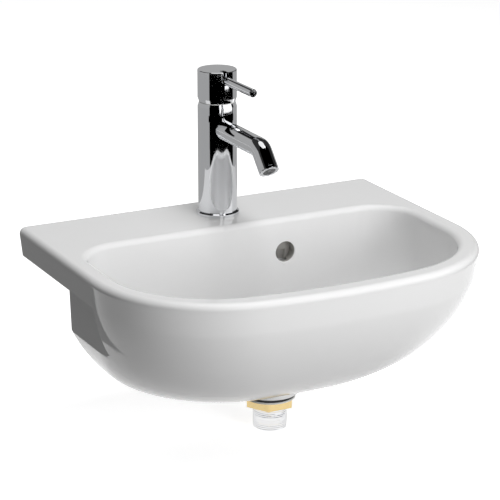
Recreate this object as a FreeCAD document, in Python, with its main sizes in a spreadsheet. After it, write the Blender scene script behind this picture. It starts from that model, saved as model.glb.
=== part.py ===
import FreeCAD, Part

import math
import os
import re

import Sketcher

# Semi-recessed basin with a one-hole mixer tap and a push-plug waste, in millimetres.
#
# Frame: +X right, +Y back into the wall, +Z up. The origin is the middle of the basin's back edge on
# the plane that the basin's land rests on. The bowl hangs below that plane and its rim stands above it.
# The tap turns about a vertical axis through the deck, the waste about one through the bowl's floor.

# ---------------------------------------------------------------------------------------------
# Driving dimensions: name, millimetres or degrees, what it is
# ---------------------------------------------------------------------------------------------
SIZES = [
    # basin, outside
    ("basin_width", 500, "overall width"),
    ("basin_depth", 405, "back edge to the front of the rim"),
    ("rim_rise", 36.5, "top of the rim above the land"),
    ("bowl_drop", 156, "land down to the flat base"),
    ("corner_radius", 162, "plan radius of the front corners"),
    ("front_radius", 880, "plan radius of the bowed front"),
    ("back_corner_radius", 10, "plan radius of the back corners"),
    ("rim_round", 8, "round-over of the outer rim edge"),
    ("straight_edge", 1, "upright wall left under each round-over"),
    ("skin_taper", 3, "inward lean of the rim's flank at the land"),
    ("skin_side_inset", 112, "how far the sides curve in under the bowl"),
    ("skin_front_inset", 196, "how far the front curves in under the bowl"),
    ("skin_side_lean", 0.133, "straight lean of the sides, mm per mm of depth"),
    ("skin_front_lean", 0.262, "straight lean of the front, mm per mm of depth"),
    ("skin_corner_loss", 0.25, "share of the corner radius lost down the full curve"),
    ("bow_half_width", 5, "least half width of the bow between the corners"),
    ("skin_back", 60, "back edge to the back of the skin under the land"),
    ("base_crown", 4.6, "how far the outer curve would run on below the flat base"),
    # basin, bowl
    ("side_rim", 18, "width of the rim at the sides"),
    ("front_rim", 21.5, "width of the rim at the front"),
    ("deck_depth", 113, "back edge to the bowl's back edge"),
    ("edge_roll", 7.5, "round-over of the bowl's edge"),
    ("bowl_corner", 132, "plan radius of the bowl's front corners"),
    ("bowl_back_corner", 56, "plan radius of the bowl's back corners"),
    ("bowl_front_radius", 840, "plan radius of the bowl's bowed front"),
    ("bowl_floor", 122, "land down to the bowl's floor"),
    ("bowl_side_inset", 120, "how far the bowl's sides curve in"),
    ("bowl_front_inset", 140, "how far the bowl's front curves in"),
    ("bowl_back_inset", 53, "how far the bowl's back curves in"),
    ("bowl_lean", 0.05, "straight lean of the bowl's walls, mm per mm of depth"),
    ("floor_corner", 38, "plan radius of the floor's corners"),
    ("wall", 12, "ceramic wall at the bowl's back"),
    ("back_wall_lean", 7.5, "forward lean of the bowl's back, outside, at the knee"),
    ("back_knee_depth", 92, "land down to the knee of the bowl's back"),
    ("base_back", 150, "back edge to the back of the flat base"),
    # basin, seat on the worktop
    ("land_width", 22, "bearing land at the sides and back"),
    ("land_reach", 233, "back edge to the step behind the apron"),
    ("deck_thickness", 14, "ceramic at the tap hole"),
    # basin, openings
    ("tap_setback", 60, "back edge to the tap's axis"),
    ("tap_hole_radius", 17.5, "hole for the tap"),
    ("waste_setback", 205, "back edge to the waste's axis"),
    ("waste_hole_radius", 23, "hole for the waste"),
    ("waste_recess_radius", 34, "sunk seat for the waste's flange"),
    ("waste_recess_depth", 3, "depth of that seat"),
    ("waste_boss_radius", 36, "ground boss round the waste hole"),
    ("overflow_offset", 65, "overflow hole to the right of the middle"),
    ("overflow_drop", 8, "land down to the overflow hole's axis"),
    ("overflow_radius", 13, "overflow hole"),
    ("overflow_back", 109, "back edge to the end of the chamber behind the hole"),
    ("duct_bore", 7, "radius of the overflow duct"),
    ("duct_wall", 5, "ceramic round the duct and its chamber"),
    ("duct_knee_x", 60, "duct's upper bend to the right of the middle"),
    ("duct_knee_y", 112, "back edge to the duct's upper bend"),
    ("duct_knee_drop", 70, "land down to the duct's upper bend"),
    ("duct_elbow_x", 35, "duct's lower bend to the right of the middle"),
    ("duct_elbow_y", 135, "back edge to the duct's lower bend"),
    ("duct_elbow_drop", 130, "land down to the duct's lower bend"),
    ("duct_mouth_drop", 141, "land down to the duct's mouth in the waste hole"),
    ("duct_start", 3, "how far the duct starts in front of its chamber's end"),
    ("chamber_step", 1, "how much wider the chamber's wall is than the overflow hole and its wall"),
    # fits
    ("running_fit", 0.05, "radial clearance of a part that turns or slides"),
    ("seated_fit", 0.2, "radial clearance of a part that is clamped"),
    ("lift", 0.2, "height that a turning face is held off its neighbour"),
    # tap, outside; heights without other words are above the deck
    ("tap_radius", 24.8, "body and cap"),
    ("tap_height", 187.4, "deck to the top of the cap"),
    ("tap_bevel", 0.6, "bevel of the cap's top edge"),
    ("base_ring_radius", 27.5, "ring under the body"),
    ("base_ring_height", 5.2, "its height"),
    ("base_ring_bevel", 1.8, "its bevel"),
    ("base_ring_bore", 18, "its bore"),
    ("base_ring_lip", 2, "height of the lip that centres the body"),
    ("base_seal_inner", 22, "groove for the seal, inner radius"),
    ("base_seal_outer", 25.5, "groove for the seal, outer radius"),
    ("base_seal_height", 1.4, "height of the seal"),
    ("body_shoulder", 7.7, "cartridge's seat to the bevel under the cap"),
    ("groove_bevel", 1.7, "depth of the bevels that meet at the cap's joint"),
    ("groove_flank", 4.8, "height of each of those bevels"),
    ("groove_gap", 1, "gap between the two bevels"),
    # tap, inside the body
    ("cavity_radius", 20.8, "hollow lower body"),
    ("body_core", 48.5, "cartridge's seat down to the top of the hollow"),
    ("spigot_radius", 19.2, "threaded spigot for the cartridge nut"),
    ("spigot_top", 24.5, "cartridge's seat to the top of the spigot"),
    ("cartridge_bore", 17.6, "bore for the cartridge"),
    ("port_offset", 7.5, "hose ports to either side of the middle"),
    ("port_back", 4.5, "hose ports behind the middle"),
    ("port_radius", 4.5, "hose port thread"),
    ("port_depth", 12, "depth of that thread"),
    ("channel_radius", 3, "water way from each port to the cartridge"),
    ("outlet_front", 8, "outlet way in front of the middle"),
    ("outlet_radius", 4, "outlet way"),
    ("stud_front", 9.5, "fixing stud in front of the middle"),
    ("stud_radius", 3.95, "fixing stud"),
    ("stud_hole_depth", 14, "depth of its hole in the body"),
    ("stud_gap", 1, "gap between the stud's end and the floor of that hole"),
    # spout
    ("spout_drop", 20.1, "cartridge's seat down to the spout's axis"),
    ("spout_radius", 12.5, "spout"),
    ("spout_bore", 9, "bore of the spout"),
    ("spout_back", 1, "start of the bore in front of the middle"),
    ("spout_root", 10, "start of the spout inside the body"),
    ("spout_bend_reach", 119.7, "tap's axis to the bend point"),
    ("spout_bend_radius", 15, "bend of the spout"),
    ("spout_drop_angle", 48, "slope of the spout's end, degrees"),
    ("spout_end_length", 29.5, "bend point to the outlet"),
    ("socket_radius", 11, "socket for the aerator"),
    ("socket_depth", 12, "depth of that socket"),
    # aerator; lengths run along the spout's end
    ("aerator_lip_radius", 12.3, "lip below the spout's end"),
    ("aerator_lip_height", 3.5, "its height"),
    ("aerator_bore", 9, "bore of the housing"),
    ("aerator_shelf", 1, "thickness of the shelf that holds the insert"),
    ("aerator_shelf_bore", 8, "bore of that shelf"),
    ("aerator_washer_height", 1.2, "washer on top of the housing"),
    ("aerator_washer_bore", 6, "its bore"),
    ("insert_height", 9, "height of the flow insert"),
    ("insert_groove_inner", 3, "ring groove in its lower face, inner radius"),
    ("insert_groove_outer", 5.5, "ring groove in its lower face, outer radius"),
    ("insert_groove_depth", 3, "depth of that groove"),
    ("notch_count", 12, "notches round the aerator's lip"),
    ("notch_width", 2.2, "width of a notch"),
    ("notch_depth", 1, "depth of a notch"),
    # cartridge; heights are above its seat in the body
    ("cartridge_seal_height", 1.5, "face seals under the cartridge"),
    ("cartridge_seal_outer", 3.9, "their outer radius"),
    ("cartridge_seal_inner", 2.6, "their inner radius"),
    ("cartridge_base_bottom", 0.5, "underside of the cartridge base"),
    ("disc_seat", 7, "top of the cartridge base"),
    ("cartridge_base_radius", 15.2, "cartridge base"),
    ("fixed_disc_radius", 14, "fixed ceramic disc"),
    ("fixed_disc_height", 4, "its thickness"),
    ("moving_disc_radius", 10.3, "moving ceramic disc"),
    ("moving_disc_height", 3.5, "its thickness"),
    ("disc_way_radius", 5, "hollow in the moving disc"),
    ("disc_way_depth", 2, "depth of that hollow"),
    ("carrier_height", 5.8, "disc carrier"),
    ("carrier_pocket", 3.35, "pocket for the stem's ball"),
    ("housing_radius", 17.4, "cartridge housing"),
    ("housing_inner", 15.4, "its inside"),
    ("housing_ceiling", 25, "underside of its shoulder"),
    ("housing_shoulder", 27.5, "top of its shoulder"),
    ("neck_radius", 12.8, "its neck"),
    ("neck_top", 34, "top of the neck"),
    ("sleeve_radius", 11, "turning sleeve"),
    ("sleeve_top", 35.7, "top of the sleeve"),
    ("sleeve_flange_radius", 15, "flange of the sleeve"),
    ("sleeve_flange_bottom", 21.7, "underside of that flange"),
    ("lug_inner", 10.7, "guide lugs, inner face"),
    ("lug_outer", 13.7, "guide lugs, outer face"),
    ("lug_half_width", 5, "guide lugs, half width"),
    ("lug_bottom", 15.5, "underside of the guide lugs"),
    ("sleeve_slot_half", 4.2, "slot for the stem, half width"),
    ("sleeve_slot_front", 6.6, "slot for the stem, reach to the front"),
    ("sleeve_slot_back", 5, "slot for the stem, reach to the back"),
    ("pivot_height", 33, "lever's pivot"),
    ("pivot_radius", 1.5, "pivot pin"),
    ("pivot_half_length", 10.8, "pivot pin, half length"),
    ("ball_height", 18, "centre of the stem's ball"),
    ("ball_radius", 3.2, "stem's ball"),
    ("arm_radius", 2.6, "stem below its square"),
    ("square_bottom", 24.5, "start of the stem's square"),
    ("square_top", 42.5, "top of the stem"),
    ("square_half_x", 4, "square, half width across"),
    ("square_half_y", 3.5, "square, half width front to back"),
    ("nut_inner", 19.25, "cartridge nut, thread"),
    ("nut_outer", 21.3, "cartridge nut, outside"),
    ("nut_bottom", 16.5, "its lower edge"),
    ("nut_flange_height", 2, "its top flange"),
    ("nut_flange_bore", 13, "bore of that flange"),
    ("glide_inner", 19.5, "glide ring, bore"),
    ("glide_flange_radius", 22.9, "glide ring, flange"),
    ("glide_flange_height", 0.8, "thickness of that flange"),
    ("glide_collar_height", 3.5, "height of the ring"),
    # cap and lever; heights are above the cartridge's seat
    ("cap_inner", 21.8, "inside of the cap"),
    ("cap_top_thickness", 2.5, "top of the cap"),
    ("web_thickness", 1.2, "web that rests on the sleeve"),
    ("web_bore", 9, "bore of that web"),
    ("slot_half_width", 3.5, "lever slot, half width"),
    ("slot_drop", 6.5, "lever's axis to the foot of the slot"),
    ("slot_reach", 15.7, "tap's axis to the slot's inner round in the cap's top"),
    ("lever_height", 43.6, "lever's axis"),
    ("lever_radius", 5.2, "lever"),
    ("lever_neck_radius", 3, "thin part that enters the slot"),
    ("lever_start", 30.6, "tap's axis to the start of the thick part"),
    ("lever_reach", 99.5, "tap's axis to the lever's tip"),
    ("lever_bevel", 0.5, "bevel of the lever's ends"),
    ("lever_seat", 4.2, "tap's axis to the inner end of the neck"),
    ("hub_half_x", 7, "hub, half width across"),
    ("hub_half_y", 6.5, "hub, half width front to back"),
    ("hub_bottom", 39.5, "underside of the hub"),
    ("hub_top", 49, "top of the hub"),
    ("hub_play", 0.1, "clearance of the hub on the stem"),
    ("screw_radius", 2, "hub screw"),
    ("screw_tip", 37.5, "lower end of the hub screw"),
    ("screw_hole_floor", 36.5, "floor of its hole in the stem"),
    ("screw_head_radius", 3.5, "head of the hub screw"),
    ("screw_head_height", 1.7, "its height"),
    ("screw_head_gap", 0.7, "gap between that head and the cap"),
    ("hex_key_radius", 1.5, "socket in its head"),
    ("hex_key_depth", 1.2, "depth of that socket"),
    # tap, fixing under the deck
    ("gasket_thickness", 3, "horseshoe gasket"),
    ("clamp_thickness", 2.5, "horseshoe clamp"),
    ("gasket_radius", 25, "both horseshoes"),
    ("hose_slot_half", 14, "slot for the hoses, half width"),
    ("hose_slot_front", 3, "front of that slot, in front of the middle"),
    ("stud_bottom", 48, "deck down to the stud's end"),
    ("fixing_nut_flats", 13, "fixing nut, across flats"),
    ("fixing_nut_height", 12.5, "its height"),
    # waste; heights are below the bowl's floor
    ("seal_height", 1.2, "seal under the waste's flange"),
    ("seal_inner", 23.5, "its inner radius"),
    ("seal_outer", 31, "its outer radius"),
    ("flange_radius", 32.5, "waste flange"),
    ("flange_height", 2, "its thickness"),
    ("flange_mouth", 24, "edge of the plug's seat"),
    ("throat_drop", 4.3, "floor down to the foot of that seat"),
    ("throat_radius", 19, "foot of that seat"),
    ("waste_neck_radius", 22.8, "neck that centres the waste in its hole"),
    ("waste_neck_drop", 9, "floor down to the neck's end"),
    ("tail_radius", 20.95, "threaded tail for the back nut and the trap"),
    ("trap_thread_drop", 53, "floor down to the start of the trap's thread"),
    ("relief_radius", 20.2, "relief between the two threads"),
    ("relief_height", 1.5, "height of that relief"),
    ("tail_bore", 18.2, "its bore"),
    ("tail_drop", 82, "floor down to the tail's end"),
    ("tail_bevel", 1, "bevel of the tail's end"),
    ("throat_length", 2, "height of the cone between the seat's foot and the tail's bore"),
    ("window_top", 12, "floor down to the overflow windows"),
    ("window_bottom", 27, "floor down to their lower edge"),
    ("window_half_width", 8, "half width of a window"),
    ("spider_top", 30, "floor down to the spider"),
    ("spider_height", 6, "its height"),
    ("spider_boss", 5.5, "its boss"),
    ("spider_hole", 4, "hole in the boss"),
    ("spider_arm", 1.5, "half thickness of an arm"),
    ("plunger_stem", 3.9, "stem of the plug's housing"),
    ("plunger_stem_drop", 42, "floor down to that stem's end"),
    ("plunger_radius", 7, "plug's housing"),
    ("plunger_top", 5, "floor down to its top"),
    ("plunger_floor", 27, "floor down to the floor of its bore"),
    ("spindle_radius", 4.5, "plug's spindle"),
    ("spindle_drop", 12, "floor down to the spindle's end"),
    ("spindle_top", 7, "top of the spindle above the floor"),
    ("plug_radius", 29, "plug"),
    ("plug_bottom", 8, "its underside above the floor when it is open"),
    ("plug_edge", 1.2, "thickness of its edge"),
    ("plug_crown", 4.5, "height of its crown above its underside"),
    ("plug_shoulder", 3.6, "height of its slope half way out"),
    ("plug_boss_radius", 6.5, "boss under the plug"),
    ("plug_boss_bottom", 3.2, "underside of the boss above the floor"),
    ("plug_seal_inner", 20.4, "plug's seal"),
    ("plug_seal_outer", 22.2, "its outer radius"),
    ("plug_seal_height", 1.55, "its height below the plug"),
    ("lower_seal_inner", 21.1, "seal under the basin"),
    ("lower_seal_outer", 31, "its outer radius"),
    ("lower_seal_height", 5, "its height"),
    ("washer_radius", 32, "slip washer"),
    ("washer_height", 2, "its height"),
    ("back_nut_flats", 56, "back nut, across flats"),
    ("back_nut_height", 10, "its height"),
    ("back_nut_bore", 20.98, "its bore"),
]

NAMES = {name for name, _, _ in SIZES}
SKIN_SPANS = 8  # bands between the land and the flat base
BOWL_SPANS = 9  # bands between the bowl's edge and its floor
FLOOR_REACH = 0.985  # share of the bowl's quarter curve that ends at the flat floor

TAP = ("0", "-tap_setback", "rim_rise")
WASTE = ("0", "-waste_setback", "-bowl_floor")

# the cap's top above the cartridge's seat, and that seat above the deck
HEAD_HEIGHT = "(hub_top + screw_head_height + screw_head_gap + cap_top_thickness)"
SEAT = f"(tap_height - {HEAD_HEIGHT})"
HEAD = ("0", "-tap_setback", f"rim_rise + {SEAT}")
CAVITY = f"({SEAT} - body_core)"  # the top of the body's hollow above the deck
SPOUT = f"({SEAT} - spout_drop)"  # the spout's axis above the deck

doc = FreeCAD.newDocument("semi_recessed_basin")
sheet = doc.addObject("Spreadsheet::Sheet", "Sizes")
for row, (name, number, note) in enumerate(SIZES, start=1):
    sheet.set(f"A{row}", name)
    sheet.set(f"B{row}", str(number))
    sheet.set(f"C{row}", note)
    sheet.setAlias(f"B{row}", name)
doc.recompute()


# ---------------------------------------------------------------------------------------------
# Helpers. A rule is an expression in the names above, such as "basin_width / 2 - wall".
# ---------------------------------------------------------------------------------------------
def bound(rule):
    """The rule with each size pointed at its cell."""
    return re.sub(r"[a-z][a-z_]*", lambda word: f"Sizes.{word[0]}" if word[0] in NAMES else word[0], rule)


def value(rule):
    """The rule's present value."""
    return float(sheet.evalExpression(rule))


def new_body(label, place=("0", "0", "0")):
    """A body whose origin lies at the given place."""
    body = doc.addObject("PartDesign::Body", label)
    body.Label = label
    for axis, rule in zip("xyz", place):
        body.setExpression(f"Placement.Base.{axis}", bound(rule))
    return body


def new_sketch(body, name, plane="XY_Plane", height="0"):
    """An empty sketch on one of the body's own planes, raised along its normal."""
    sketch = body.newObject("Sketcher::SketchObject", name)
    origin = next(item for item in body.Origin.OriginFeatures if item.Role == plane)
    sketch.AttachmentSupport = [(origin, "")]
    sketch.MapMode = "FlatFace"
    sketch.setExpression("AttachmentOffset.Base.z", bound(height))
    return sketch


def dimension(sketch, name, constraint, rule):
    """Adds a driven dimension to a sketch."""
    index = sketch.addConstraint(constraint)
    sketch.renameConstraint(index, name)
    sketch.setExpression(f"Constraints.{name}", bound(rule))


def place_point(sketch, tag, geometry, point, x, y):
    """Holds a point of a sketch at x, y."""
    where = (-1, 1, geometry, point)
    dimension(sketch, f"x{tag}", Sketcher.Constraint("DistanceX", *where, value(x)), x)
    dimension(sketch, f"y{tag}", Sketcher.Constraint("DistanceY", *where, value(y)), y)


def polygon(sketch, corners):
    """A closed outline through corners given as pairs of rules."""
    first = sketch.GeometryCount
    points = [FreeCAD.Vector(value(x), value(y), 0) for x, y in corners]
    count = len(points)
    for index in range(count):
        sketch.addGeometry(Part.LineSegment(points[index], points[(index + 1) % count]), False)
    for index in range(count):
        following = first + (index + 1) % count
        sketch.addConstraint(Sketcher.Constraint("Coincident", first + index, 2, following, 1))
    for index, (x, y) in enumerate(corners):
        place_point(sketch, first + index, first + index, 1, x, y)


def circle(sketch, x, y, radius):
    """A circle with its centre at x, y."""
    centre = FreeCAD.Vector(value(x), value(y), 0)
    index = sketch.addGeometry(Part.Circle(centre, FreeCAD.Vector(0, 0, 1), value(radius)), False)
    place_point(sketch, index, index, 3, x, y)
    dimension(sketch, f"r{index}", Sketcher.Constraint("Radius", index, value(radius)), radius)


def rectangle(sketch, left, right, low, high):
    """A rectangle between four rules."""
    polygon(sketch, [(left, low), (right, low), (right, high), (left, high)])


def d_section(body, name, height, half_width, back, front, back_radius, corner_radius, front_radius):
    """A D-shaped plan: straight back and sides, round corners and a bowed front."""
    sketch = new_sketch(body, name, "XY_Plane", height)
    wide, rear, fore = value(half_width), value(back), value(front)
    small, large, bow = value(back_radius), value(corner_radius), value(front_radius)
    inner = wide - large
    bow_centre = fore + bow
    shoulder = bow_centre - math.sqrt((bow - large) ** 2 - inner**2)
    turn = math.atan2(shoulder - bow_centre, inner)
    up = FreeCAD.Vector(0, 0, 1)

    def line(x0, y0, x1, y1):
        sketch.addGeometry(Part.LineSegment(FreeCAD.Vector(x0, y0, 0), FreeCAD.Vector(x1, y1, 0)), False)

    def arc(x, y, radius, start, end):
        round_edge = Part.Circle(FreeCAD.Vector(x, y, 0), up, radius)
        sketch.addGeometry(Part.ArcOfCircle(round_edge, start, end), False)

    line(small - wide, rear, wide - small, rear)
    arc(wide - small, rear - small, small, 0, math.pi / 2)
    line(wide, rear - small, wide, shoulder)
    arc(inner, shoulder, large, turn, 0)
    arc(0, bow_centre, bow, -math.pi - turn, turn)
    arc(-inner, shoulder, large, math.pi, math.pi - turn)
    line(-wide, rear - small, -wide, shoulder)
    arc(small - wide, rear - small, small, math.pi / 2, math.pi)
    joints = [(0, 2, 1, 2), (1, 1, 2, 1), (2, 2, 3, 2), (3, 1, 4, 2)]
    joints += [(4, 1, 5, 2), (5, 1, 6, 2), (6, 1, 7, 2), (7, 1, 0, 1)]
    for joint in joints:
        sketch.addConstraint(Sketcher.Constraint("Tangent", *joint))
    sketch.addConstraint(Sketcher.Constraint("Vertical", 2))
    sketch.addConstraint(Sketcher.Constraint("Vertical", 6))
    sketch.addConstraint(Sketcher.Constraint("PointOnObject", 4, 3, -2))
    sketch.addConstraint(Sketcher.Constraint("Equal", 1, 7))
    sketch.addConstraint(Sketcher.Constraint("Equal", 3, 5))
    sketch.addConstraint(Sketcher.Constraint("Symmetric", 2, 1, 6, 1, -2))
    dimension(sketch, "half_width", Sketcher.Constraint("DistanceX", -1, 1, 2, 1, wide), half_width)
    dimension(sketch, "back", Sketcher.Constraint("DistanceY", -1, 1, 0, 1, rear), back)
    dimension(sketch, "back_radius", Sketcher.Constraint("Radius", 1, small), back_radius)
    dimension(sketch, "corner_radius", Sketcher.Constraint("Radius", 3, large), corner_radius)
    dimension(sketch, "front_radius", Sketcher.Constraint("Radius", 4, bow), front_radius)
    centre_rule = f"{front} + {front_radius}"
    centre = Sketcher.Constraint("DistanceY", -1, 1, 4, 3, bow_centre)
    dimension(sketch, "bow_centre", centre, centre_rule)
    return sketch


def loft(body, kind, name, sections):
    """A skin from sketch to sketch, added to or cut from the body."""
    skin = body.newObject(f"PartDesign::{kind}", name)
    skin.Profile = sections[0]
    skin.Sections = [(section, [""]) for section in sections[1:]]
    skin.Ruled = True
    doc.recompute()
    return skin


def pad(body, name, sketch, depth, downward=False):
    """Raises a sketch into the body."""
    solid = body.newObject("PartDesign::Pad", name)
    solid.Profile = sketch
    solid.Reversed = downward
    solid.setExpression("Length", bound(depth))
    doc.recompute()
    return solid


def revolve(body, name, outline):
    """Turns an outline of radius and height about the body's own vertical axis."""
    sketch = new_sketch(body, f"{name}_outline", "XZ_Plane")
    polygon(sketch, outline)
    solid = body.newObject("PartDesign::Revolution", name)
    solid.Profile = sketch
    solid.ReferenceAxis = (sketch, ["V_Axis"])
    solid.Angle = 360
    doc.recompute()
    return solid


def turned(label, place, outline):
    """A body of one revolved outline."""
    body = new_body(label, place)
    revolve(body, f"{label}_turned", outline)
    return body


def ring(label, place, inner, outer, bottom, top):
    """A plain ring of rectangular section."""
    return turned(label, place, [(inner, bottom), (outer, bottom), (outer, top), (inner, top)])


def bore(body, name, x, y, radius, top, depth):
    """A round blind hole sunk from a height."""
    sketch = new_sketch(body, f"{name}_plan", "XY_Plane", top)
    circle(sketch, x, y, radius)
    return pocket(body, name, sketch, depth)


def hexagon(sketch, flats):
    """A hexagon by its width across flats."""
    radius = f"{flats} / sqrt(3)"
    polygon(sketch, [(f"{radius} * cos({turn})", f"{radius} * sin({turn})") for turn in range(0, 360, 60)])


def turn_about_x(body, degrees):
    """Tilts a body about its own X axis, keeping its place."""
    tilt = FreeCAD.Rotation(FreeCAD.Vector(1, 0, 0), degrees)
    body.Placement = FreeCAD.Placement(body.Placement.Base, tilt)


def pocket(body, name, sketch, depth=None, upward=False):
    """Cuts a sketch out of the body, below it or above it, right through if no depth is given."""
    before = body.Shape.Volume
    cut = body.newObject("PartDesign::Pocket", name)
    cut.Profile = sketch
    cut.Reversed = upward
    if depth is None:
        cut.Type = "ThroughAll"
    else:
        cut.setExpression("Length", bound(depth))
    doc.recompute()
    if not body.Shape.Volume < before:
        raise ValueError(f"{name} cuts nothing")
    return cut


def edges_level_with(shape, height):
    """The names of the edges that lie in the plane at this height."""
    names = []
    for index, edge in enumerate(shape.Edges, start=1):
        box = edge.BoundBox
        if abs(box.ZMin - height) < 0.01 and abs(box.ZMax - height) < 0.01:
            names.append(f"Edge{index}")
    return names


def fillet(body, name, edges, radius):
    """Rounds edges of the body's present shape."""
    base = body.Tip
    rounding = body.newObject("PartDesign::Fillet", name)
    rounding.Base = (base, edges)
    rounding.setExpression("Radius", bound(radius))
    doc.recompute()
    return rounding


# ---------------------------------------------------------------------------------------------
# Basin
# ---------------------------------------------------------------------------------------------
def skin_section(body, number):
    """Plan of the outer skin, evenly stepped round the curve from the land to the base."""
    edge = "asin(bowl_drop / (bowl_drop + base_crown))"
    angle = f"({edge} * {number} / {SKIN_SPANS})"
    depth = f"((bowl_drop + base_crown) * sin({angle}))"
    curve = f"(1 - cos({angle}))"
    side = f"skin_taper + skin_side_inset * {curve} + skin_side_lean * {depth}"
    front = f"skin_taper + skin_front_inset * {curve} + skin_front_lean * {depth}"
    half_width = f"(basin_width / 2 - ({side}))"
    corner = f"min(corner_radius * (1 - skin_corner_loss * {curve}); {half_width} - bow_half_width)"
    return d_section(
        body,
        f"skin_{number}",
        f"-{depth}",
        half_width,
        "-skin_back",
        f"-basin_depth + {front}",
        "back_corner_radius",
        corner,
        "front_radius",
    )


def bowl_section(body, number):
    """Plan of the bowl's inside, evenly stepped round the curve from its edge to its floor."""
    angle = math.asin(FLOOR_REACH) * number / BOWL_SPANS
    share = math.sin(angle) / FLOOR_REACH
    steep = 1 - math.sqrt(1 - math.sin(angle) ** 4)
    sloped = 1 - math.cos(angle)
    blend = sloped / (1 - math.cos(math.asin(FLOOR_REACH)))
    start = "(rim_rise - edge_roll - straight_edge)"
    depth = f"{share:.5f} * (bowl_floor + {start})"
    lean = f"bowl_lean * {depth}"
    return d_section(
        body,
        f"bowl_{number}",
        f"{start} - {depth}",
        f"basin_width / 2 - side_rim - edge_roll - bowl_side_inset * {steep:.5f} - {lean}",
        f"-deck_depth - edge_roll - bowl_back_inset * {steep:.5f} - {lean}",
        f"-basin_depth + front_rim + edge_roll + bowl_front_inset * {sloped:.5f} + {lean}",
        f"bowl_back_corner + (floor_corner - bowl_back_corner) * {blend:.5f}",
        f"bowl_corner + (floor_corner - bowl_corner) * {blend:.5f}",
        "bowl_front_radius",
    )


def rim_plan(body, name, height, inset):
    """The basin's full plan, drawn in by an inset except at the back."""
    return d_section(
        body,
        name,
        height,
        f"basin_width / 2 - {inset}",
        "0",
        f"-basin_depth + {inset}",
        "back_corner_radius",
        "corner_radius",
        "front_radius",
    )


def basin_skin(body):
    """The outside: an upright band with a rounded edge, a leaning flank, and the bowl below the land."""
    band = "(rim_round + straight_edge)"
    top = rim_plan(body, "rim_top", "rim_rise", "0")
    pad(body, "rim_band", top, band, downward=True)
    fillet(body, "rim_edge", edges_level_with(body.Shape, value("rim_rise")), "rim_round")
    flank_top = rim_plan(body, "flank_top", f"rim_rise - {band}", "0")
    land_plan = rim_plan(body, "land_plan", "0", "skin_taper")
    loft(body, "AdditiveLoft", "flank", [flank_top, land_plan])
    sections = [skin_section(body, number) for number in range(SKIN_SPANS + 1)]
    loft(body, "AdditiveLoft", "under_bowl", sections)


def basin_seat(body):
    """The step that rests on the worktop, the back of the bowl and the hollow under the deck."""
    steps = new_sketch(body, "worktop_steps")
    inner, outer = "basin_width / 2 - land_width", "basin_width"
    rectangle(steps, inner, outer, "-land_reach", "wall")
    rectangle(steps, f"-({outer})", f"-({inner})", "-land_reach", "wall")
    pocket(body, "worktop_step", steps)

    behind = new_sketch(body, "behind_bowl", "YZ_Plane", "-basin_width")
    wall_top = "-deck_depth - edge_roll + wall - back_wall_lean / 2"
    corners = [
        ("wall", "0"),
        (wall_top, "0"),
        (f"{wall_top} - back_wall_lean", "-back_knee_depth"),
        ("-base_back", "-bowl_drop - wall"),
        ("wall", "-bowl_drop - wall"),
    ]
    polygon(behind, corners)
    pocket(body, "bowl_back", behind, "2 * basin_width", upward=True)

    recess = new_sketch(body, "deck_recess_plan")
    half = "basin_width / 2 - land_width - wall / 2"
    rectangle(recess, f"-({half})", half, wall_top, "-land_width")
    pocket(body, "deck_recess", recess, "rim_rise - deck_thickness", upward=True)


def basin_bowl(body):
    """The inside: an upright mouth with a rolled edge, then the curved bowl."""
    mouth = bowl_section(body, 0)
    mouth.setExpression("AttachmentOffset.Base.z", bound("rim_rise"))
    pocket(body, "bowl_mouth", mouth, "edge_roll + straight_edge")
    fillet(body, "bowl_edge", mouth_edges(body.Shape), "edge_roll")
    sections = [bowl_section(body, number) for number in range(BOWL_SPANS + 1)]
    loft(body, "SubtractiveLoft", "bowl", sections)


def mouth_edges(shape):
    """The names of the upper edges that lie inside the rim."""
    reach = value("basin_width / 2 - rim_round")
    low, high = value("-basin_depth + rim_round + 1"), value("-land_width")
    names = []
    for index, edge in enumerate(shape.Edges, start=1):
        box = edge.BoundBox
        level = abs(box.ZMin - value("rim_rise")) < 0.01 and box.ZLength < 0.01
        inside = box.XMax < reach and -box.XMin < reach and box.YMin > low and box.YMax < high
        if level and inside:
            names.append(f"Edge{index}")
    return names


def rod(name, start, end, radius):
    """A cylinder from point to point, given as triples of rules."""
    a, b = (FreeCAD.Vector(*[value(rule) for rule in point]) for point in (start, end))
    solid = doc.addObject("Part::Cylinder", name)
    solid.setExpression("Radius", bound(radius))
    solid.Height = a.distanceToPoint(b)
    solid.Placement = FreeCAD.Placement(a, FreeCAD.Rotation(FreeCAD.Vector(0, 0, 1), b - a))
    return solid


def knuckle(name, centre, radius):
    """A ball that rounds the joint of two rods."""
    solid = doc.addObject("Part::Sphere", name)
    solid.setExpression("Radius", bound(radius))
    solid.Placement.Base = FreeCAD.Vector(*[value(rule) for rule in centre])
    return solid


def joined(label, shapes):
    """Several shapes as one."""
    whole = doc.addObject("Part::MultiFuse", label)
    whole.Shapes = shapes
    doc.recompute()
    return whole


def cut(label, base, tools):
    """A shape less others."""
    rest = doc.addObject("Part::Cut", label)
    rest.Label = label
    rest.Base = base
    rest.Tool = joined(f"{label}_tools", tools) if len(tools) > 1 else tools[0]
    doc.recompute()
    if not 0 < rest.Shape.Volume < base.Shape.Volume:
        raise ValueError(f"{label}: its holes cut nothing")
    return rest


def overflow_path():
    """The duct's points, from the chamber behind the overflow hole to the waste hole."""
    return [
        ("overflow_offset", "-overflow_back - duct_start", "-overflow_drop"),
        ("duct_knee_x", "-duct_knee_y", "-duct_knee_drop"),
        ("duct_elbow_x", "-duct_elbow_y", "-duct_elbow_drop"),
        ("0", "-waste_setback + waste_hole_radius", "-duct_mouth_drop"),
    ]


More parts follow.
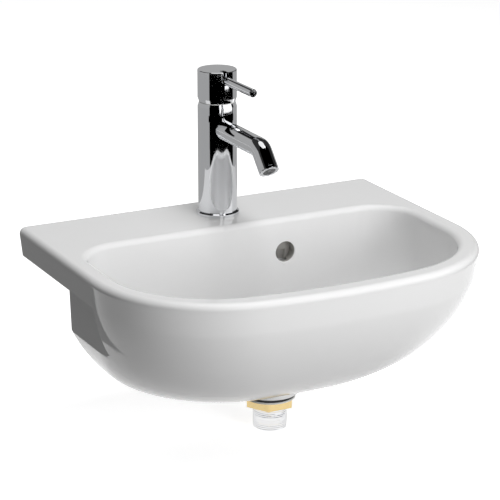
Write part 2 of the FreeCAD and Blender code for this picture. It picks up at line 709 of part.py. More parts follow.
def basin():
    """The ceramic with its tap hole, waste hole, overflow hole and duct."""
    body = new_body("basin_shell")
    basin_skin(body)
    basin_seat(body)
    basin_bowl(body)

    path = overflow_path()
    outer = "duct_bore + duct_wall"
    chamber_radius = "overflow_radius + duct_wall + chamber_step"
    boss_top = ("0", "-waste_setback", "-bowl_floor - duct_wall")
    boss_foot = ("0", "-waste_setback", "-bowl_drop")
    chamber_front = ("overflow_offset", "-deck_depth - edge_roll + duct_wall", "-overflow_drop")
    chamber_back = ("overflow_offset", "-overflow_back + duct_wall", "-overflow_drop")
    walls = [body, rod("waste_boss", boss_top, boss_foot, "waste_boss_radius")]
    walls.append(rod("overflow_chamber", chamber_front, chamber_back, chamber_radius))
    walls += [rod(f"duct_{k}", path[k], path[k + 1], outer) for k in range(3)]
    walls += [knuckle(f"duct_bend_{k}", path[k], outer) for k in (1, 2)]

    floor = ("0", "-waste_setback", "-bowl_floor - waste_recess_depth")
    above = ("0", "-waste_setback", "-bowl_floor + wall")
    below = ("0", "-waste_setback", "-bowl_drop - wall")
    deck_top = ("0", "-tap_setback", "rim_rise + wall")
    deck_foot = ("0", "-tap_setback", "0")
    hole_front = ("overflow_offset", "-waste_setback + wall", "-overflow_drop")
    hole_back = ("overflow_offset", "-overflow_back", "-overflow_drop")
    holes = [
        rod("waste_recess", floor, above, "waste_recess_radius"),
        rod("waste_hole", above, below, "waste_hole_radius"),
        rod("tap_hole", deck_foot, deck_top, "tap_hole_radius"),
        rod("overflow_hole", hole_front, hole_back, "overflow_radius"),
    ]
    holes += [rod(f"duct_bore_{k}", path[k], path[k + 1], "duct_bore") for k in range(3)]
    holes += [knuckle(f"duct_bore_bend_{k}", path[k], "duct_bore") for k in (1, 2)]
    return cut("basin", joined("basin_walls", walls), holes)


# ---------------------------------------------------------------------------------------------
# Tap: base ring, cast body with spout, aerator
# ---------------------------------------------------------------------------------------------
def base_ring():
    """The ring between deck and body, with a groove for its seal and a lip that centres the body."""
    groove_top = "base_seal_height"
    lip = "cavity_radius - seated_fit"
    outline = [
        ("base_ring_bore", "lift"),
        ("base_seal_inner", "lift"),
        ("base_seal_inner", groove_top),
        ("base_seal_outer", groove_top),
        ("base_seal_outer", "lift"),
        ("base_ring_radius", "lift"),
        ("base_ring_radius", "base_ring_height - base_ring_bevel"),
        ("base_ring_radius - base_ring_bevel", "base_ring_height"),
        (lip, "base_ring_height"),
        (lip, "base_ring_height + base_ring_lip"),
        ("base_ring_bore", "base_ring_height + base_ring_lip"),
    ]
    turned("base_ring", TAP, outline)
    ring("base_seal", TAP, "base_seal_inner + running_fit", "base_seal_outer - running_fit", "0", groove_top)


def spout_spine(body, name, start):
    """The spout's centre line: level, then bent down to the outlet."""
    spine = new_sketch(body, name, "YZ_Plane")
    angle = math.radians(value("spout_drop_angle"))
    radius = value("spout_bend_radius")
    tangent = "spout_bend_radius * tan(spout_drop_angle / 2)"
    centre_y, centre_z = f"-spout_bend_reach + {tangent}", f"{SPOUT} - spout_bend_radius"
    end_y = "-spout_bend_reach - spout_end_length * cos(spout_drop_angle)"
    end_z = f"{SPOUT} - spout_end_length * sin(spout_drop_angle)"
    centre = FreeCAD.Vector(value(centre_y), value(centre_z), 0)
    first = FreeCAD.Vector(value(f"-{start}"), value(SPOUT), 0)
    top = centre + FreeCAD.Vector(0, radius, 0)
    turn = math.pi / 2 + angle
    bottom = centre + FreeCAD.Vector(math.cos(turn), math.sin(turn), 0) * radius
    bend = Part.Circle(centre, FreeCAD.Vector(0, 0, 1), radius)
    spine.addGeometry(Part.LineSegment(first, top), False)
    spine.addGeometry(Part.ArcOfCircle(bend, math.pi / 2, turn), False)
    end = FreeCAD.Vector(value(end_y), value(end_z), 0)
    spine.addGeometry(Part.LineSegment(bottom, end), False)
    spine.addConstraint(Sketcher.Constraint("Tangent", 0, 2, 1, 1))
    spine.addConstraint(Sketcher.Constraint("Tangent", 1, 2, 2, 1))
    spine.addConstraint(Sketcher.Constraint("Horizontal", 0))
    place_point(spine, "start", 0, 1, f"-{start}", SPOUT)
    place_point(spine, "end", 2, 2, end_y, end_z)
    dimension(spine, "bend", Sketcher.Constraint("Radius", 1, radius), "spout_bend_radius")
    along = Sketcher.Constraint("DistanceX", -1, 1, 1, 3, centre.x)
    dimension(spine, "bend_start", along, centre_y)
    return spine


def spout_pipe(body, kind, name, start, radius):
    """A round pipe along the spout's centre line."""
    spine = spout_spine(body, f"{name}_line", start)
    plan = new_sketch(body, f"{name}_section", "XZ_Plane", start)
    circle(plan, "0", SPOUT, radius)
    pipe = body.newObject(f"PartDesign::{kind}", name)
    pipe.Profile = plan
    pipe.Spine = (spine, ["Edge1", "Edge2", "Edge3"])
    doc.recompute()
    return pipe


def outlet():
    """The middle of the spout's end face."""
    y = "-tap_setback - spout_bend_reach - spout_end_length * cos(spout_drop_angle)"
    z = f"rim_rise + {SPOUT} - spout_end_length * sin(spout_drop_angle)"
    return ("0", y, z)


def tap_body():
    """The casting: body, spout, cartridge bore, water ways, hose ports and stud hole."""
    body = new_body("tap_casting", TAP)
    shoulder = f"{SEAT} + body_shoulder"
    joint = f"{shoulder} + groove_flank"
    spigot = f"{SEAT} + spigot_top"
    outline = [
        ("cavity_radius", "base_ring_height"),
        ("tap_radius", "base_ring_height"),
        ("tap_radius", shoulder),
        ("tap_radius - groove_bevel", joint),
        ("spigot_radius", joint),
        ("spigot_radius", spigot),
        ("cartridge_bore", spigot),
        ("cartridge_bore", SEAT),
        ("0", SEAT),
        ("0", CAVITY),
        ("cavity_radius", CAVITY),
    ]
    revolve(body, "body_turned", outline)
    spout_pipe(body, "AdditivePipe", "spout", "spout_root", "spout_radius")
    spout_pipe(body, "SubtractivePipe", "spout_way", "spout_back", "spout_bore")
    for side, sign in (("left", "-"), ("right", "")):
        x = f"{sign}port_offset"
        port_top = f"{CAVITY} + port_depth"
        bore(body, f"hose_port_{side}", x, "port_back", "port_radius", port_top, "port_depth")
        way = f"{SEAT} - ({port_top})"
        bore(body, f"water_way_{side}", x, "port_back", "channel_radius", SEAT, way)
    bore(body, "outlet_way", "0", "-outlet_front", "outlet_radius", SEAT, "spout_drop")
    stud_top = f"{CAVITY} + stud_hole_depth"
    bore(body, "stud_hole", "0", "-stud_front", "stud_radius + running_fit", stud_top, "stud_hole_depth")
    x, y, z = outlet()
    deep_y = f"{y} + socket_depth * cos(spout_drop_angle)"
    deep_z = f"{z} + socket_depth * sin(spout_drop_angle)"
    beyond_y = f"{y} - socket_depth * cos(spout_drop_angle)"
    beyond_z = f"{z} - socket_depth * sin(spout_drop_angle)"
    socket = rod("aerator_socket", (x, deep_y, deep_z), (x, beyond_y, beyond_z), "socket_radius")
    cut("tap_body", body, [socket])


def aerator():
    """Housing with a notched lip, its washer and the flow insert, along the spout's end."""
    slope = value("spout_drop_angle") - 90
    body_radius = "socket_radius - seated_fit"
    housing_top = "socket_depth - aerator_washer_height"
    outline = [
        ("aerator_shelf_bore", "-aerator_lip_height"),
        ("aerator_lip_radius", "-aerator_lip_height"),
        ("aerator_lip_radius", "0"),
        (body_radius, "0"),
        (body_radius, housing_top),
        ("aerator_bore", housing_top),
        ("aerator_bore", "-aerator_lip_height + aerator_shelf"),
        ("aerator_shelf_bore", "-aerator_lip_height + aerator_shelf"),
    ]
    housing = turned("aerator_housing", outlet(), outline)
    notch = new_sketch(housing, "notch_plan", "XY_Plane", "-aerator_lip_height + notch_depth")
    rim = "aerator_lip_radius"
    rectangle(notch, f"{rim} - notch_depth", f"{rim} + 1", "-notch_width / 2", "notch_width / 2")
    first = pocket(housing, "notch", notch, "notch_depth + 1")
    around = housing.newObject("PartDesign::PolarPattern", "notches")
    around.Originals = [first]
    around.Axis = (notch, ["N_Axis"])
    around.Angle = 360
    around.setExpression("Occurrences", bound("notch_count"))
    housing.Tip = around
    doc.recompute()

    bottom = "-aerator_lip_height + aerator_shelf"
    groove_top = f"{bottom} + insert_groove_depth"
    insert = [
        ("0", bottom),
        ("insert_groove_inner", bottom),
        ("insert_groove_inner", groove_top),
        ("insert_groove_outer", groove_top),
        ("insert_groove_outer", bottom),
        ("aerator_bore - seated_fit", bottom),
        ("aerator_bore - seated_fit", f"{bottom} + insert_height"),
        ("0", f"{bottom} + insert_height"),
    ]
    flow = turned("aerator_insert", outlet(), insert)
    washer_bore = "aerator_washer_bore"
    washer = ring("aerator_washer", outlet(), washer_bore, body_radius, housing_top, "socket_depth")
    for part in (housing, flow, washer):
        turn_about_x(part, slope)


# ---------------------------------------------------------------------------------------------
# Tap: cartridge
# ---------------------------------------------------------------------------------------------
def water_ports():
    """The middles of the two inlets and the outlet, as seen from above."""
    return [("-port_offset", "port_back"), ("port_offset", "port_back"), ("0", "-outlet_front")]


def cartridge_base():
    """The base under the ceramic discs and its three face seals."""
    top, bottom = "disc_seat", "cartridge_base_bottom"
    body = turned("cartridge_base", HEAD, [("0", bottom), ("cartridge_base_radius", bottom),
                                          ("cartridge_base_radius", top), ("0", top)])
    seals = new_body("cartridge_seals", HEAD)
    plan = new_sketch(seals, "seal_plan", "XY_Plane", "0")
    for number, (x, y) in enumerate(water_ports()):
        name = f"base_way_{number}"
        bore(body, name, x, y, "cartridge_seal_inner", top, f"{top} - {bottom}")
        seat = f"seal_seat_{number}"
        depth = f"cartridge_seal_height - {bottom}"
        bore(body, seat, x, y, "cartridge_seal_outer", "cartridge_seal_height", depth)
        circle(plan, x, y, "cartridge_seal_outer")
        circle(plan, x, y, "cartridge_seal_inner")
    seals.AllowCompound = True
    pad(seals, "seals", plan, "cartridge_seal_height")


def ceramic_discs():
    """The fixed disc with its three ways and the moving disc with the hollow that joins them."""
    fixed_top = "disc_seat + fixed_disc_height"
    fixed = turned("fixed_disc", HEAD, [("0", "disc_seat"), ("fixed_disc_radius", "disc_seat"),
                                       ("fixed_disc_radius", fixed_top), ("0", fixed_top)])
    for number, (x, y) in enumerate(water_ports()):
        bore(fixed, f"disc_way_{number}", x, y, "cartridge_seal_inner", fixed_top, "fixed_disc_height")
    top = f"{fixed_top} + moving_disc_height"
    hollow = f"{fixed_top} + disc_way_depth"
    turned("moving_disc", HEAD, [("disc_way_radius", fixed_top), ("moving_disc_radius", fixed_top),
                                ("moving_disc_radius", top), ("0", top), ("0", hollow),
                                ("disc_way_radius", hollow)])
    carrier_top = f"{top} + carrier_height"
    ring("disc_carrier", HEAD, "carrier_pocket", "moving_disc_radius", f"{top} + lift", carrier_top)


def cartridge_housing():
    """The sleeve round the discs, with a shoulder under the nut and a neck for the turning sleeve."""
    neck = "sleeve_radius + running_fit"
    outline = [
        ("housing_inner", "0"),
        ("housing_radius", "0"),
        ("housing_radius", "housing_shoulder"),
        ("neck_radius", "housing_shoulder"),
        ("neck_radius", "neck_top"),
        (neck, "neck_top"),
        (neck, "housing_ceiling"),
        ("housing_inner", "housing_ceiling"),
    ]
    turned("cartridge_housing", HEAD, outline)


def turning_sleeve():
    """The sleeve that turns with the cap, guides the carrier with two lugs and holds the pivot pin."""
    flange_top = "housing_ceiling - lift"
    outline = [
        ("0", "sleeve_flange_bottom"),
        ("sleeve_flange_radius", "sleeve_flange_bottom"),
        ("sleeve_flange_radius", flange_top),
        ("sleeve_radius", flange_top),
        ("sleeve_radius", "sleeve_top"),
        ("0", "sleeve_top"),
    ]
    body = turned("turning_sleeve", HEAD, outline)
    lugs = new_sketch(body, "lug_plan", "XY_Plane", "sleeve_flange_bottom")
    rectangle(lugs, "lug_inner", "lug_outer", "-lug_half_width", "lug_half_width")
    rectangle(lugs, "-lug_outer", "-lug_inner", "-lug_half_width", "lug_half_width")
    pad(body, "lugs", lugs, "sleeve_flange_bottom - lug_bottom", downward=True)
    slot = new_sketch(body, "stem_slot_plan", "XY_Plane", "sleeve_top")
    rectangle(slot, "-sleeve_slot_half", "sleeve_slot_half", "-sleeve_slot_front", "sleeve_slot_back")
    pocket(body, "stem_slot", slot)
    pin = new_sketch(body, "pivot_plan", "YZ_Plane", "sleeve_radius + 1")
    circle(pin, "0", "pivot_height", "pivot_radius")
    pocket(body, "pivot_hole", pin)


def stem():
    """The lever's stem: a ball in the carrier, an arm and a square with the pivot hole."""
    body = new_body("stem", HEAD)
    ball = body.newObject("PartDesign::AdditiveSphere", "ball")
    ball.setExpression("Radius", bound("ball_radius"))
    ball.setExpression("Placement.Base.z", bound("ball_height"))
    doc.recompute()
    arm = new_sketch(body, "arm_plan", "XY_Plane", "ball_height")
    circle(arm, "0", "0", "arm_radius")
    pad(body, "arm", arm, "square_bottom - ball_height")
    square = new_sketch(body, "square_plan", "XY_Plane", "square_bottom")
    rectangle(square, "-square_half_x", "square_half_x", "-square_half_y", "square_half_y")
    pad(body, "square", square, "square_top - square_bottom")
    pin = new_sketch(body, "stem_pivot_plan", "YZ_Plane", "square_half_x + 1")
    circle(pin, "0", "pivot_height", "pivot_radius + running_fit")
    pocket(body, "stem_pivot", pin)
    depth = "square_top - screw_hole_floor"
    bore(body, "screw_hole", "0", "0", "screw_radius + running_fit", "square_top", depth)

    pin = new_body("stem_pin", HEAD)
    plan = new_sketch(pin, "pin_plan", "YZ_Plane", "-pivot_half_length")
    circle(plan, "0", "pivot_height", "pivot_radius")
    pad(pin, "pin", plan, "2 * pivot_half_length")


def cartridge_nut():
    """The nut on the spigot that clamps the cartridge, and the ring that the cap glides on."""
    top = "housing_shoulder + nut_flange_height"
    outline = [
        ("nut_inner", "nut_bottom"),
        ("nut_outer", "nut_bottom"),
        ("nut_outer", top),
        ("nut_flange_bore", top),
        ("nut_flange_bore", "housing_shoulder"),
        ("nut_inner", "housing_shoulder"),
    ]
    turned("cartridge_nut", HEAD, outline)
    seat = "body_shoulder + groove_flank"
    flange_top = f"{seat} + glide_flange_height"
    collar = "cap_inner - running_fit"
    glide = [
        ("glide_inner", seat),
        ("glide_flange_radius", seat),
        ("glide_flange_radius", flange_top),
        (collar, flange_top),
        (collar, f"{seat} + glide_collar_height"),
        ("glide_inner", f"{seat} + glide_collar_height"),
    ]
    turned("glide_ring", HEAD, glide)


# ---------------------------------------------------------------------------------------------
# Tap: cap and lever
# ---------------------------------------------------------------------------------------------
def handle_cap():
    """The turning cap, open at the front for the lever, on a web that rests on the sleeve."""
    foot = "body_shoulder + groove_flank + groove_gap"
    ceiling = f"{HEAD_HEIGHT} - cap_top_thickness"
    web_top = "sleeve_top + web_thickness"
    outline = [
        ("cap_inner", foot),
        ("tap_radius - groove_bevel", foot),
        ("tap_radius", f"{foot} + groove_flank"),
        ("tap_radius", f"{HEAD_HEIGHT} - tap_bevel"),
        ("tap_radius - tap_bevel", HEAD_HEIGHT),
        ("0", HEAD_HEIGHT),
        ("0", ceiling),
        ("cap_inner", ceiling),
        ("cap_inner", web_top),
        ("web_bore", web_top),
        ("web_bore", "sleeve_top"),
        ("cap_inner", "sleeve_top"),
    ]
    body = turned("handle_cap", HEAD, outline)
    slot_foot = "lever_height - slot_drop + slot_half_width"
    depth = f"{HEAD_HEIGHT} - ({slot_foot})"
    slot = new_sketch(body, "slot_plan", "XY_Plane", HEAD_HEIGHT)
    rectangle(slot, "-slot_half_width", "slot_half_width", "-tap_radius - 1", "-slot_reach")
    pocket(body, "lever_slot", slot, depth)
    bore(body, "slot_end", "0", "-slot_reach", "slot_half_width", HEAD_HEIGHT, "cap_top_thickness")
    foot_round = new_sketch(body, "slot_foot_plan", "XZ_Plane", "slot_reach")
    circle(foot_round, "0", slot_foot, "slot_half_width")
    pocket(body, "slot_foot", foot_round, "tap_radius", upward=True)


def lever():
    """The pin lever, the hub that joins it to the stem and the hub's screw."""
    hub = new_body("lever_hub", HEAD)
    plan = new_sketch(hub, "hub_plan", "XY_Plane", "hub_bottom")
    rectangle(plan, "-hub_half_x", "hub_half_x", "-hub_half_y", "hub_half_y")
    pad(hub, "hub_block", plan, "hub_top - hub_bottom")
    square = new_sketch(hub, "hub_square_plan", "XY_Plane", "hub_bottom")
    across, along = "square_half_x + hub_play", "square_half_y + hub_play"
    rectangle(square, f"-({across})", across, f"-({along})", along)
    pocket(hub, "hub_square", square, "square_top + hub_play - hub_bottom", upward=True)
    bore(hub, "hub_screw_hole", "0", "0", "screw_radius + running_fit", "hub_top", "hub_top - square_top")
    neck = new_sketch(hub, "neck_plan", "XZ_Plane", "hub_half_y")
    circle(neck, "0", "lever_height", "lever_neck_radius + running_fit")
    pocket(hub, "neck_hole", neck, "hub_half_y - lever_seat + hub_play")

    axis_place = ("0", "-tap_setback", f"rim_rise + {SEAT} + lever_height")
    outline = [
        ("0", "lever_seat"),
        ("lever_neck_radius", "lever_seat"),
        ("lever_neck_radius", "lever_start"),
        ("lever_radius - lever_bevel", "lever_start"),
        ("lever_radius", "lever_start + lever_bevel"),
        ("lever_radius", "lever_reach - lever_bevel"),
        ("lever_radius - lever_bevel", "lever_reach"),
        ("0", "lever_reach"),
    ]
    turn_about_x(turned("pin_lever", axis_place, outline), 90)

    head_top = "hub_top + screw_head_height"
    screw = turned("hub_screw", HEAD, [("0", "screw_tip"), ("screw_radius", "screw_tip"),
                                      ("screw_radius", "hub_top"), ("screw_head_radius", "hub_top"),
                                      ("screw_head_radius", head_top), ("0", head_top)])
    key = new_sketch(screw, "key_plan", "XY_Plane", head_top)
    hexagon(key, "2 * hex_key_radius")
    pocket(screw, "key_socket", key, "hex_key_depth")


# ---------------------------------------------------------------------------------------------
# Tap: fixing under the deck
# ---------------------------------------------------------------------------------------------
def horseshoe(label, top, thickness):
    """A round plate with a hole for the stud and a slot at the back for the hoses."""
    body = turned(label, TAP, [("0", f"{top} - {thickness}"), ("gasket_radius", f"{top} - {thickness}"),
                               ("gasket_radius", top), ("0", top)])
    slot = new_sketch(body, f"{label}_slot_plan", "XY_Plane", top)
    rectangle(slot, "-hose_slot_half", "hose_slot_half", "-hose_slot_front", "gasket_radius + 1")
    pocket(body, f"{label}_slot", slot, thickness)
    bore(body, f"{label}_hole", "0", "-stud_front", "stud_radius + running_fit", top, thickness)


def nut(label, place, x, y, flats, radius, top, height):
    """A hexagon nut."""
    body = new_body(label, place)
    body_plan = new_sketch(body, f"{label}_plan", "XY_Plane", top)
    hexagon(body_plan, flats)
    pad(body, f"{label}_block", body_plan, height, downward=True)
    bore(body, f"{label}_hole", x, y, radius, top, height)
    return body


def fixing():
    """The stud, its horseshoe gasket and clamp, and the nut."""
    top = f"{CAVITY} + stud_hole_depth - stud_gap"
    stud_place = ("0", "-tap_setback - stud_front", "rim_rise")
    turned("fixing_stud", stud_place, [("0", "-stud_bottom"), ("stud_radius", "-stud_bottom"),
                                       ("stud_radius", top), ("0", top)])
    deck_foot = "-deck_thickness"
    clamp_top = f"{deck_foot} - gasket_thickness"
    nut_top = f"{clamp_top} - clamp_thickness"
    horseshoe("fixing_gasket", deck_foot, "gasket_thickness")
    horseshoe("fixing_plate", clamp_top, "clamp_thickness")
    hole = "stud_radius + running_fit"
    nut("fixing_nut", stud_place, "0", "0", "fixing_nut_flats", hole, nut_top, "fixing_nut_height")


# ---------------------------------------------------------------------------------------------
# Waste
# ---------------------------------------------------------------------------------------------
def waste_body():
    """Flange and threaded tail in one, with overflow windows and a three-armed spider."""
    under = "-waste_recess_depth + seal_height"
    outline = [
        ("tail_bore", "-tail_drop"),
        ("tail_radius - tail_bevel", "-tail_drop"),
        ("tail_radius", "-tail_drop + tail_bevel"),
        ("tail_radius", "-trap_thread_drop"),
        ("relief_radius", "-trap_thread_drop"),
        ("relief_radius", "-trap_thread_drop + relief_height"),
        ("tail_radius", "-trap_thread_drop + relief_height"),
        ("tail_radius", "-waste_neck_drop"),
        ("waste_neck_radius", "-waste_neck_drop"),
        ("waste_neck_radius", under),
        ("flange_radius", under),
        ("flange_radius", f"{under} + flange_height"),
        ("flange_mouth", f"{under} + flange_height"),
        ("throat_radius", "-throat_drop"),
        ("tail_bore", "-throat_drop - throat_length"),
    ]
    body = turned("waste_body", WASTE, outline)
    arm = new_sketch(body, "arm_of_spider_plan", "XY_Plane", "-spider_top")
    rectangle(arm, "-spider_arm", "spider_arm", "0", "tail_bore + 1")
    first = pad(body, "arm_of_spider", arm, "spider_height", downward=True)
    around = body.newObject("PartDesign::PolarPattern", "spider")
    around.Originals = [first]
    around.Axis = (arm, ["N_Axis"])
    around.Angle = 360
    around.Occurrences = 3
    body.Tip = around
    doc.recompute()
    boss = new_sketch(body, "spider_boss_plan", "XY_Plane", "-spider_top")
    circle(boss, "0", "0", "spider_boss")
    pad(body, "spider_boss_block", boss, "spider_height", downward=True)
    bore(body, "spider_bore", "0", "0", "spider_hole", "-spider_top", "spider_height")
    windows = new_sketch(body, "window_plan", "XZ_Plane", "-flange_radius")
    rectangle(windows, "-window_half_width", "window_half_width", "-window_bottom", "-window_top")
    pocket(body, "overflow_windows", windows, "2 * flange_radius", upward=True)


def waste_fixing():
    """The seals above and below the basin, the slip washer and the back nut."""
    floor = "-waste_recess_depth"
    ring("waste_seal", WASTE, "seal_inner", "seal_outer", floor, f"{floor} + seal_height")
    base = "bowl_floor - bowl_drop"
    seal_bottom = f"{base} - lower_seal_height"
    ring("lower_seal", WASTE, "lower_seal_inner", "lower_seal_outer", seal_bottom, base)
    washer_bottom = f"{seal_bottom} - washer_height"
    ring("slip_washer", WASTE, "lower_seal_inner", "washer_radius", washer_bottom, seal_bottom)
    nut("back_nut", WASTE, "0", "0", "back_nut_flats", "back_nut_bore", washer_bottom, "back_nut_height")


def plug():
    """The push plug with its seal and spindle, and the housing that the spindle slides in."""
    outline = [
        ("0", "plug_boss_bottom"),
        ("plug_boss_radius", "plug_boss_bottom"),
        ("plug_boss_radius", "plug_bottom"),
        ("plug_radius", "plug_bottom"),
        ("plug_radius", "plug_bottom + plug_edge"),
        ("plug_radius / 2", "plug_bottom + plug_shoulder"),
        ("0", "plug_bottom + plug_crown"),
    ]
    body = turned("plug_cap", WASTE, outline)
    hole = "spindle_radius + running_fit"
    deep = "spindle_top - plug_boss_bottom"
    bore(body, "spindle_seat", "0", "0", hole, "spindle_top", deep)
    seal_foot = "plug_bottom - plug_seal_height"
    ring("plug_seal", WASTE, "plug_seal_inner", "plug_seal_outer", seal_foot, "plug_bottom")
    turned("click_spindle", WASTE, [("0", "-spindle_drop"), ("spindle_radius", "-spindle_drop"),
                                    ("spindle_radius", "spindle_top"), ("0", "spindle_top")])
    housing = [
        ("0", "-plunger_stem_drop"),
        ("plunger_stem", "-plunger_stem_drop"),
        ("plunger_stem", "-spider_top"),
        ("plunger_radius", "-spider_top"),
        ("plunger_radius", "-plunger_top"),
        (hole, "-plunger_top"),
        (hole, "-plunger_floor"),
        ("0", "-plunger_floor"),
    ]
    turned("click_housing", WASTE, housing)


# ---------------------------------------------------------------------------------------------
# Build, check and export
# ---------------------------------------------------------------------------------------------
NODES = """
    basin base_seal base_ring tap_body aerator_housing aerator_insert aerator_washer
    cartridge_seals cartridge_base fixed_disc moving_disc disc_carrier cartridge_housing
    turning_sleeve stem stem_pin cartridge_nut glide_ring handle_cap lever_hub hub_screw pin_lever
    fixing_stud fixing_gasket fixing_plate fixing_nut
    waste_seal waste_body lower_seal slip_washer back_nut click_housing click_spindle plug_cap plug_seal
""".split()

for build in (
    basin,
    base_ring,
    tap_body,
    aerator,
    cartridge_base,
    ceramic_discs,
    cartridge_housing,
    turning_sleeve,
    stem,
    cartridge_nut,
    handle_cap,
    lever,
    fixing,
    waste_body,
    waste_fixing,
    plug,
):
    build()
doc.recompute()

for item in doc.Objects:
    if "Invalid" in item.State or "Error" in item.State:
        raise RuntimeError(f"{item.Name} did not build: {item.State}")

os.makedirs("parts", exist_ok=True)
for label in NODES:
    shape = doc.getObjectsByLabel(label)[0].Shape
    if shape.isNull() or not shape.isValid() or not shape.Solids:
        raise RuntimeError(f"{label} is not a sound solid")
    shape.exportStep(f"parts/{label}.step")
    print(f"{label}: {shape.Volume / 1000:.2f} cm3")
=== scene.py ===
"""A semi recessed basin with its mixer tap and push-plug waste, dressed for a plain studio picture.

Sizes are written in millimetres, as on a maker's drawing, and turned into metres by MM where a mesh
or a place is made. The studio's sizes are in metres. X runs right, Y back into the wall and Z up, from
the middle of the basin's back edge on the plane that its land rests on.
"""

import logging
import math
from dataclasses import dataclass
from enum import Enum

import bmesh
import bpy
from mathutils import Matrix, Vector


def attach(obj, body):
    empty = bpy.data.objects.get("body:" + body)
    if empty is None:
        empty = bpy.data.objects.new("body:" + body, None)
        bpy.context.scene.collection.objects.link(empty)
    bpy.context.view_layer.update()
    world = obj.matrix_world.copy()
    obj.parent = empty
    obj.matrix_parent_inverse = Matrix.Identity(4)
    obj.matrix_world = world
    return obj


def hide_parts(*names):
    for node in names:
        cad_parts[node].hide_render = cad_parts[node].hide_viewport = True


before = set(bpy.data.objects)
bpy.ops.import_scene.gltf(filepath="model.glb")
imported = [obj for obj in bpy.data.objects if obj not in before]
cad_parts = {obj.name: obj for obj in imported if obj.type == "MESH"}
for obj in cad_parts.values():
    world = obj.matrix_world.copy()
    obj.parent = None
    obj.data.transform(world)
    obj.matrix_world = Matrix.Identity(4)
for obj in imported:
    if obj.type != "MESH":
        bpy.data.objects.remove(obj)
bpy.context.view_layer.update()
MM = 0.001
WHITE = (1, 1, 1, 1)
GLASSY_IOR = 1.5
NOISE_LOW, NOISE_HIGH = 0.35, 0.65
ROUND_STEPS, FINE_STEPS, BORE_STEPS = 64, 96, 40
LOG = logging.getLogger("basin")

Point = tuple[float, float, float]
Profile = list[tuple[float, float]]
Grain = tuple[float, float]  # a noise's scale per metre and its octaves
Object = bpy.types.Object
Material = bpy.types.Material
Socket = bpy.types.NodeSocket


# ---- Node trees ----
class NodeKit:
    """A node tree with short ways to add, feed and join nodes."""

    def __init__(self, tree: bpy.types.NodeTree) -> None:
        """Takes over the tree that the nodes go into."""
        self.tree = tree

    def join(self, start: Socket, end: Socket) -> None:
        """Links two sockets."""
        self.tree.links.new(start, end)

    def feed(self, target: Socket, value: object) -> None:
        """Links an input to a socket, or sets it to a plain value."""
        if isinstance(value, Socket):
            self.join(value, target)
        else:
            target.default_value = value

    def add(self, kind: str, **inputs: object) -> bpy.types.Node:
        """Adds a node and feeds its inputs.

        Args:
            kind: Blender's name of the node's type.
            inputs: values or sockets by input name, with underscores for spaces.

        Returns:
            The new node.
        """
        node = self.tree.nodes.new(kind)
        for name, value in inputs.items():
            self.feed(node.inputs[name.replace("_", " ")], value)
        return node

    def out(self, kind: str, **inputs: object) -> Socket:
        """Adds a node, feeds its inputs and returns its first output."""
        return self.add(kind, **inputs).outputs[0]

    def reckon(self, operation: str, first: Socket, second: Socket | float) -> Socket:
        """The result of a math node, named by its operation, on a socket and a socket or number."""
        node = self.add("ShaderNodeMath")
        node.operation = operation
        self.feed(node.inputs[0], first)
        self.feed(node.inputs[1], second)
        return node.outputs[0]

    def blend(self, factor: Socket, first: Point | Socket, second: Point | Socket) -> Socket:
        """A colour that runs between two.

        Args:
            factor: 0 for the first colour, 1 for the second.
            first: a colour or its socket.
            second: a colour or its socket.

        Returns:
            The colour socket.
        """
        mix = self.add("ShaderNodeMix")
        mix.data_type = "RGBA"
        ends = [item for item in mix.inputs if item.type == "RGBA"]
        for end, colour in zip(ends, (first, second)):
            self.feed(end, colour if isinstance(colour, Socket) else (*colour, 1))
        self.join(factor, mix.inputs["Factor"])
        return next(item for item in mix.outputs if item.type == "RGBA")

    def blend_shaders(self, factor: Socket, first: Socket, second: Socket) -> Socket:
        """A shader that runs from the first at factor 0 to the second at 1."""
        mix = self.add("ShaderNodeMixShader", Fac=factor)
        self.join(first, mix.inputs[1])
        self.join(second, mix.inputs[2])
        return mix.outputs[0]

    def distance(self, place: Socket, point: Point = (0, 0, 0)) -> Socket:
        """How far a place lies from a point in metres."""
        node = self.add("ShaderNodeVectorMath")
        node.operation = "DISTANCE"
        node.inputs[1].default_value = point
        self.join(place, node.inputs[0])
        return node.outputs["Value"]

    def seen_directly(self) -> Socket:
        """1 for rays from the camera, off metal or through glass, else 0."""
        paths = self.add("ShaderNodeLightPath")
        total = paths.outputs["Is Camera Ray"]
        for name in ("Is Glossy Ray", "Is Transmission Ray"):
            total = self.reckon("MAXIMUM", total, paths.outputs[name])
        return total


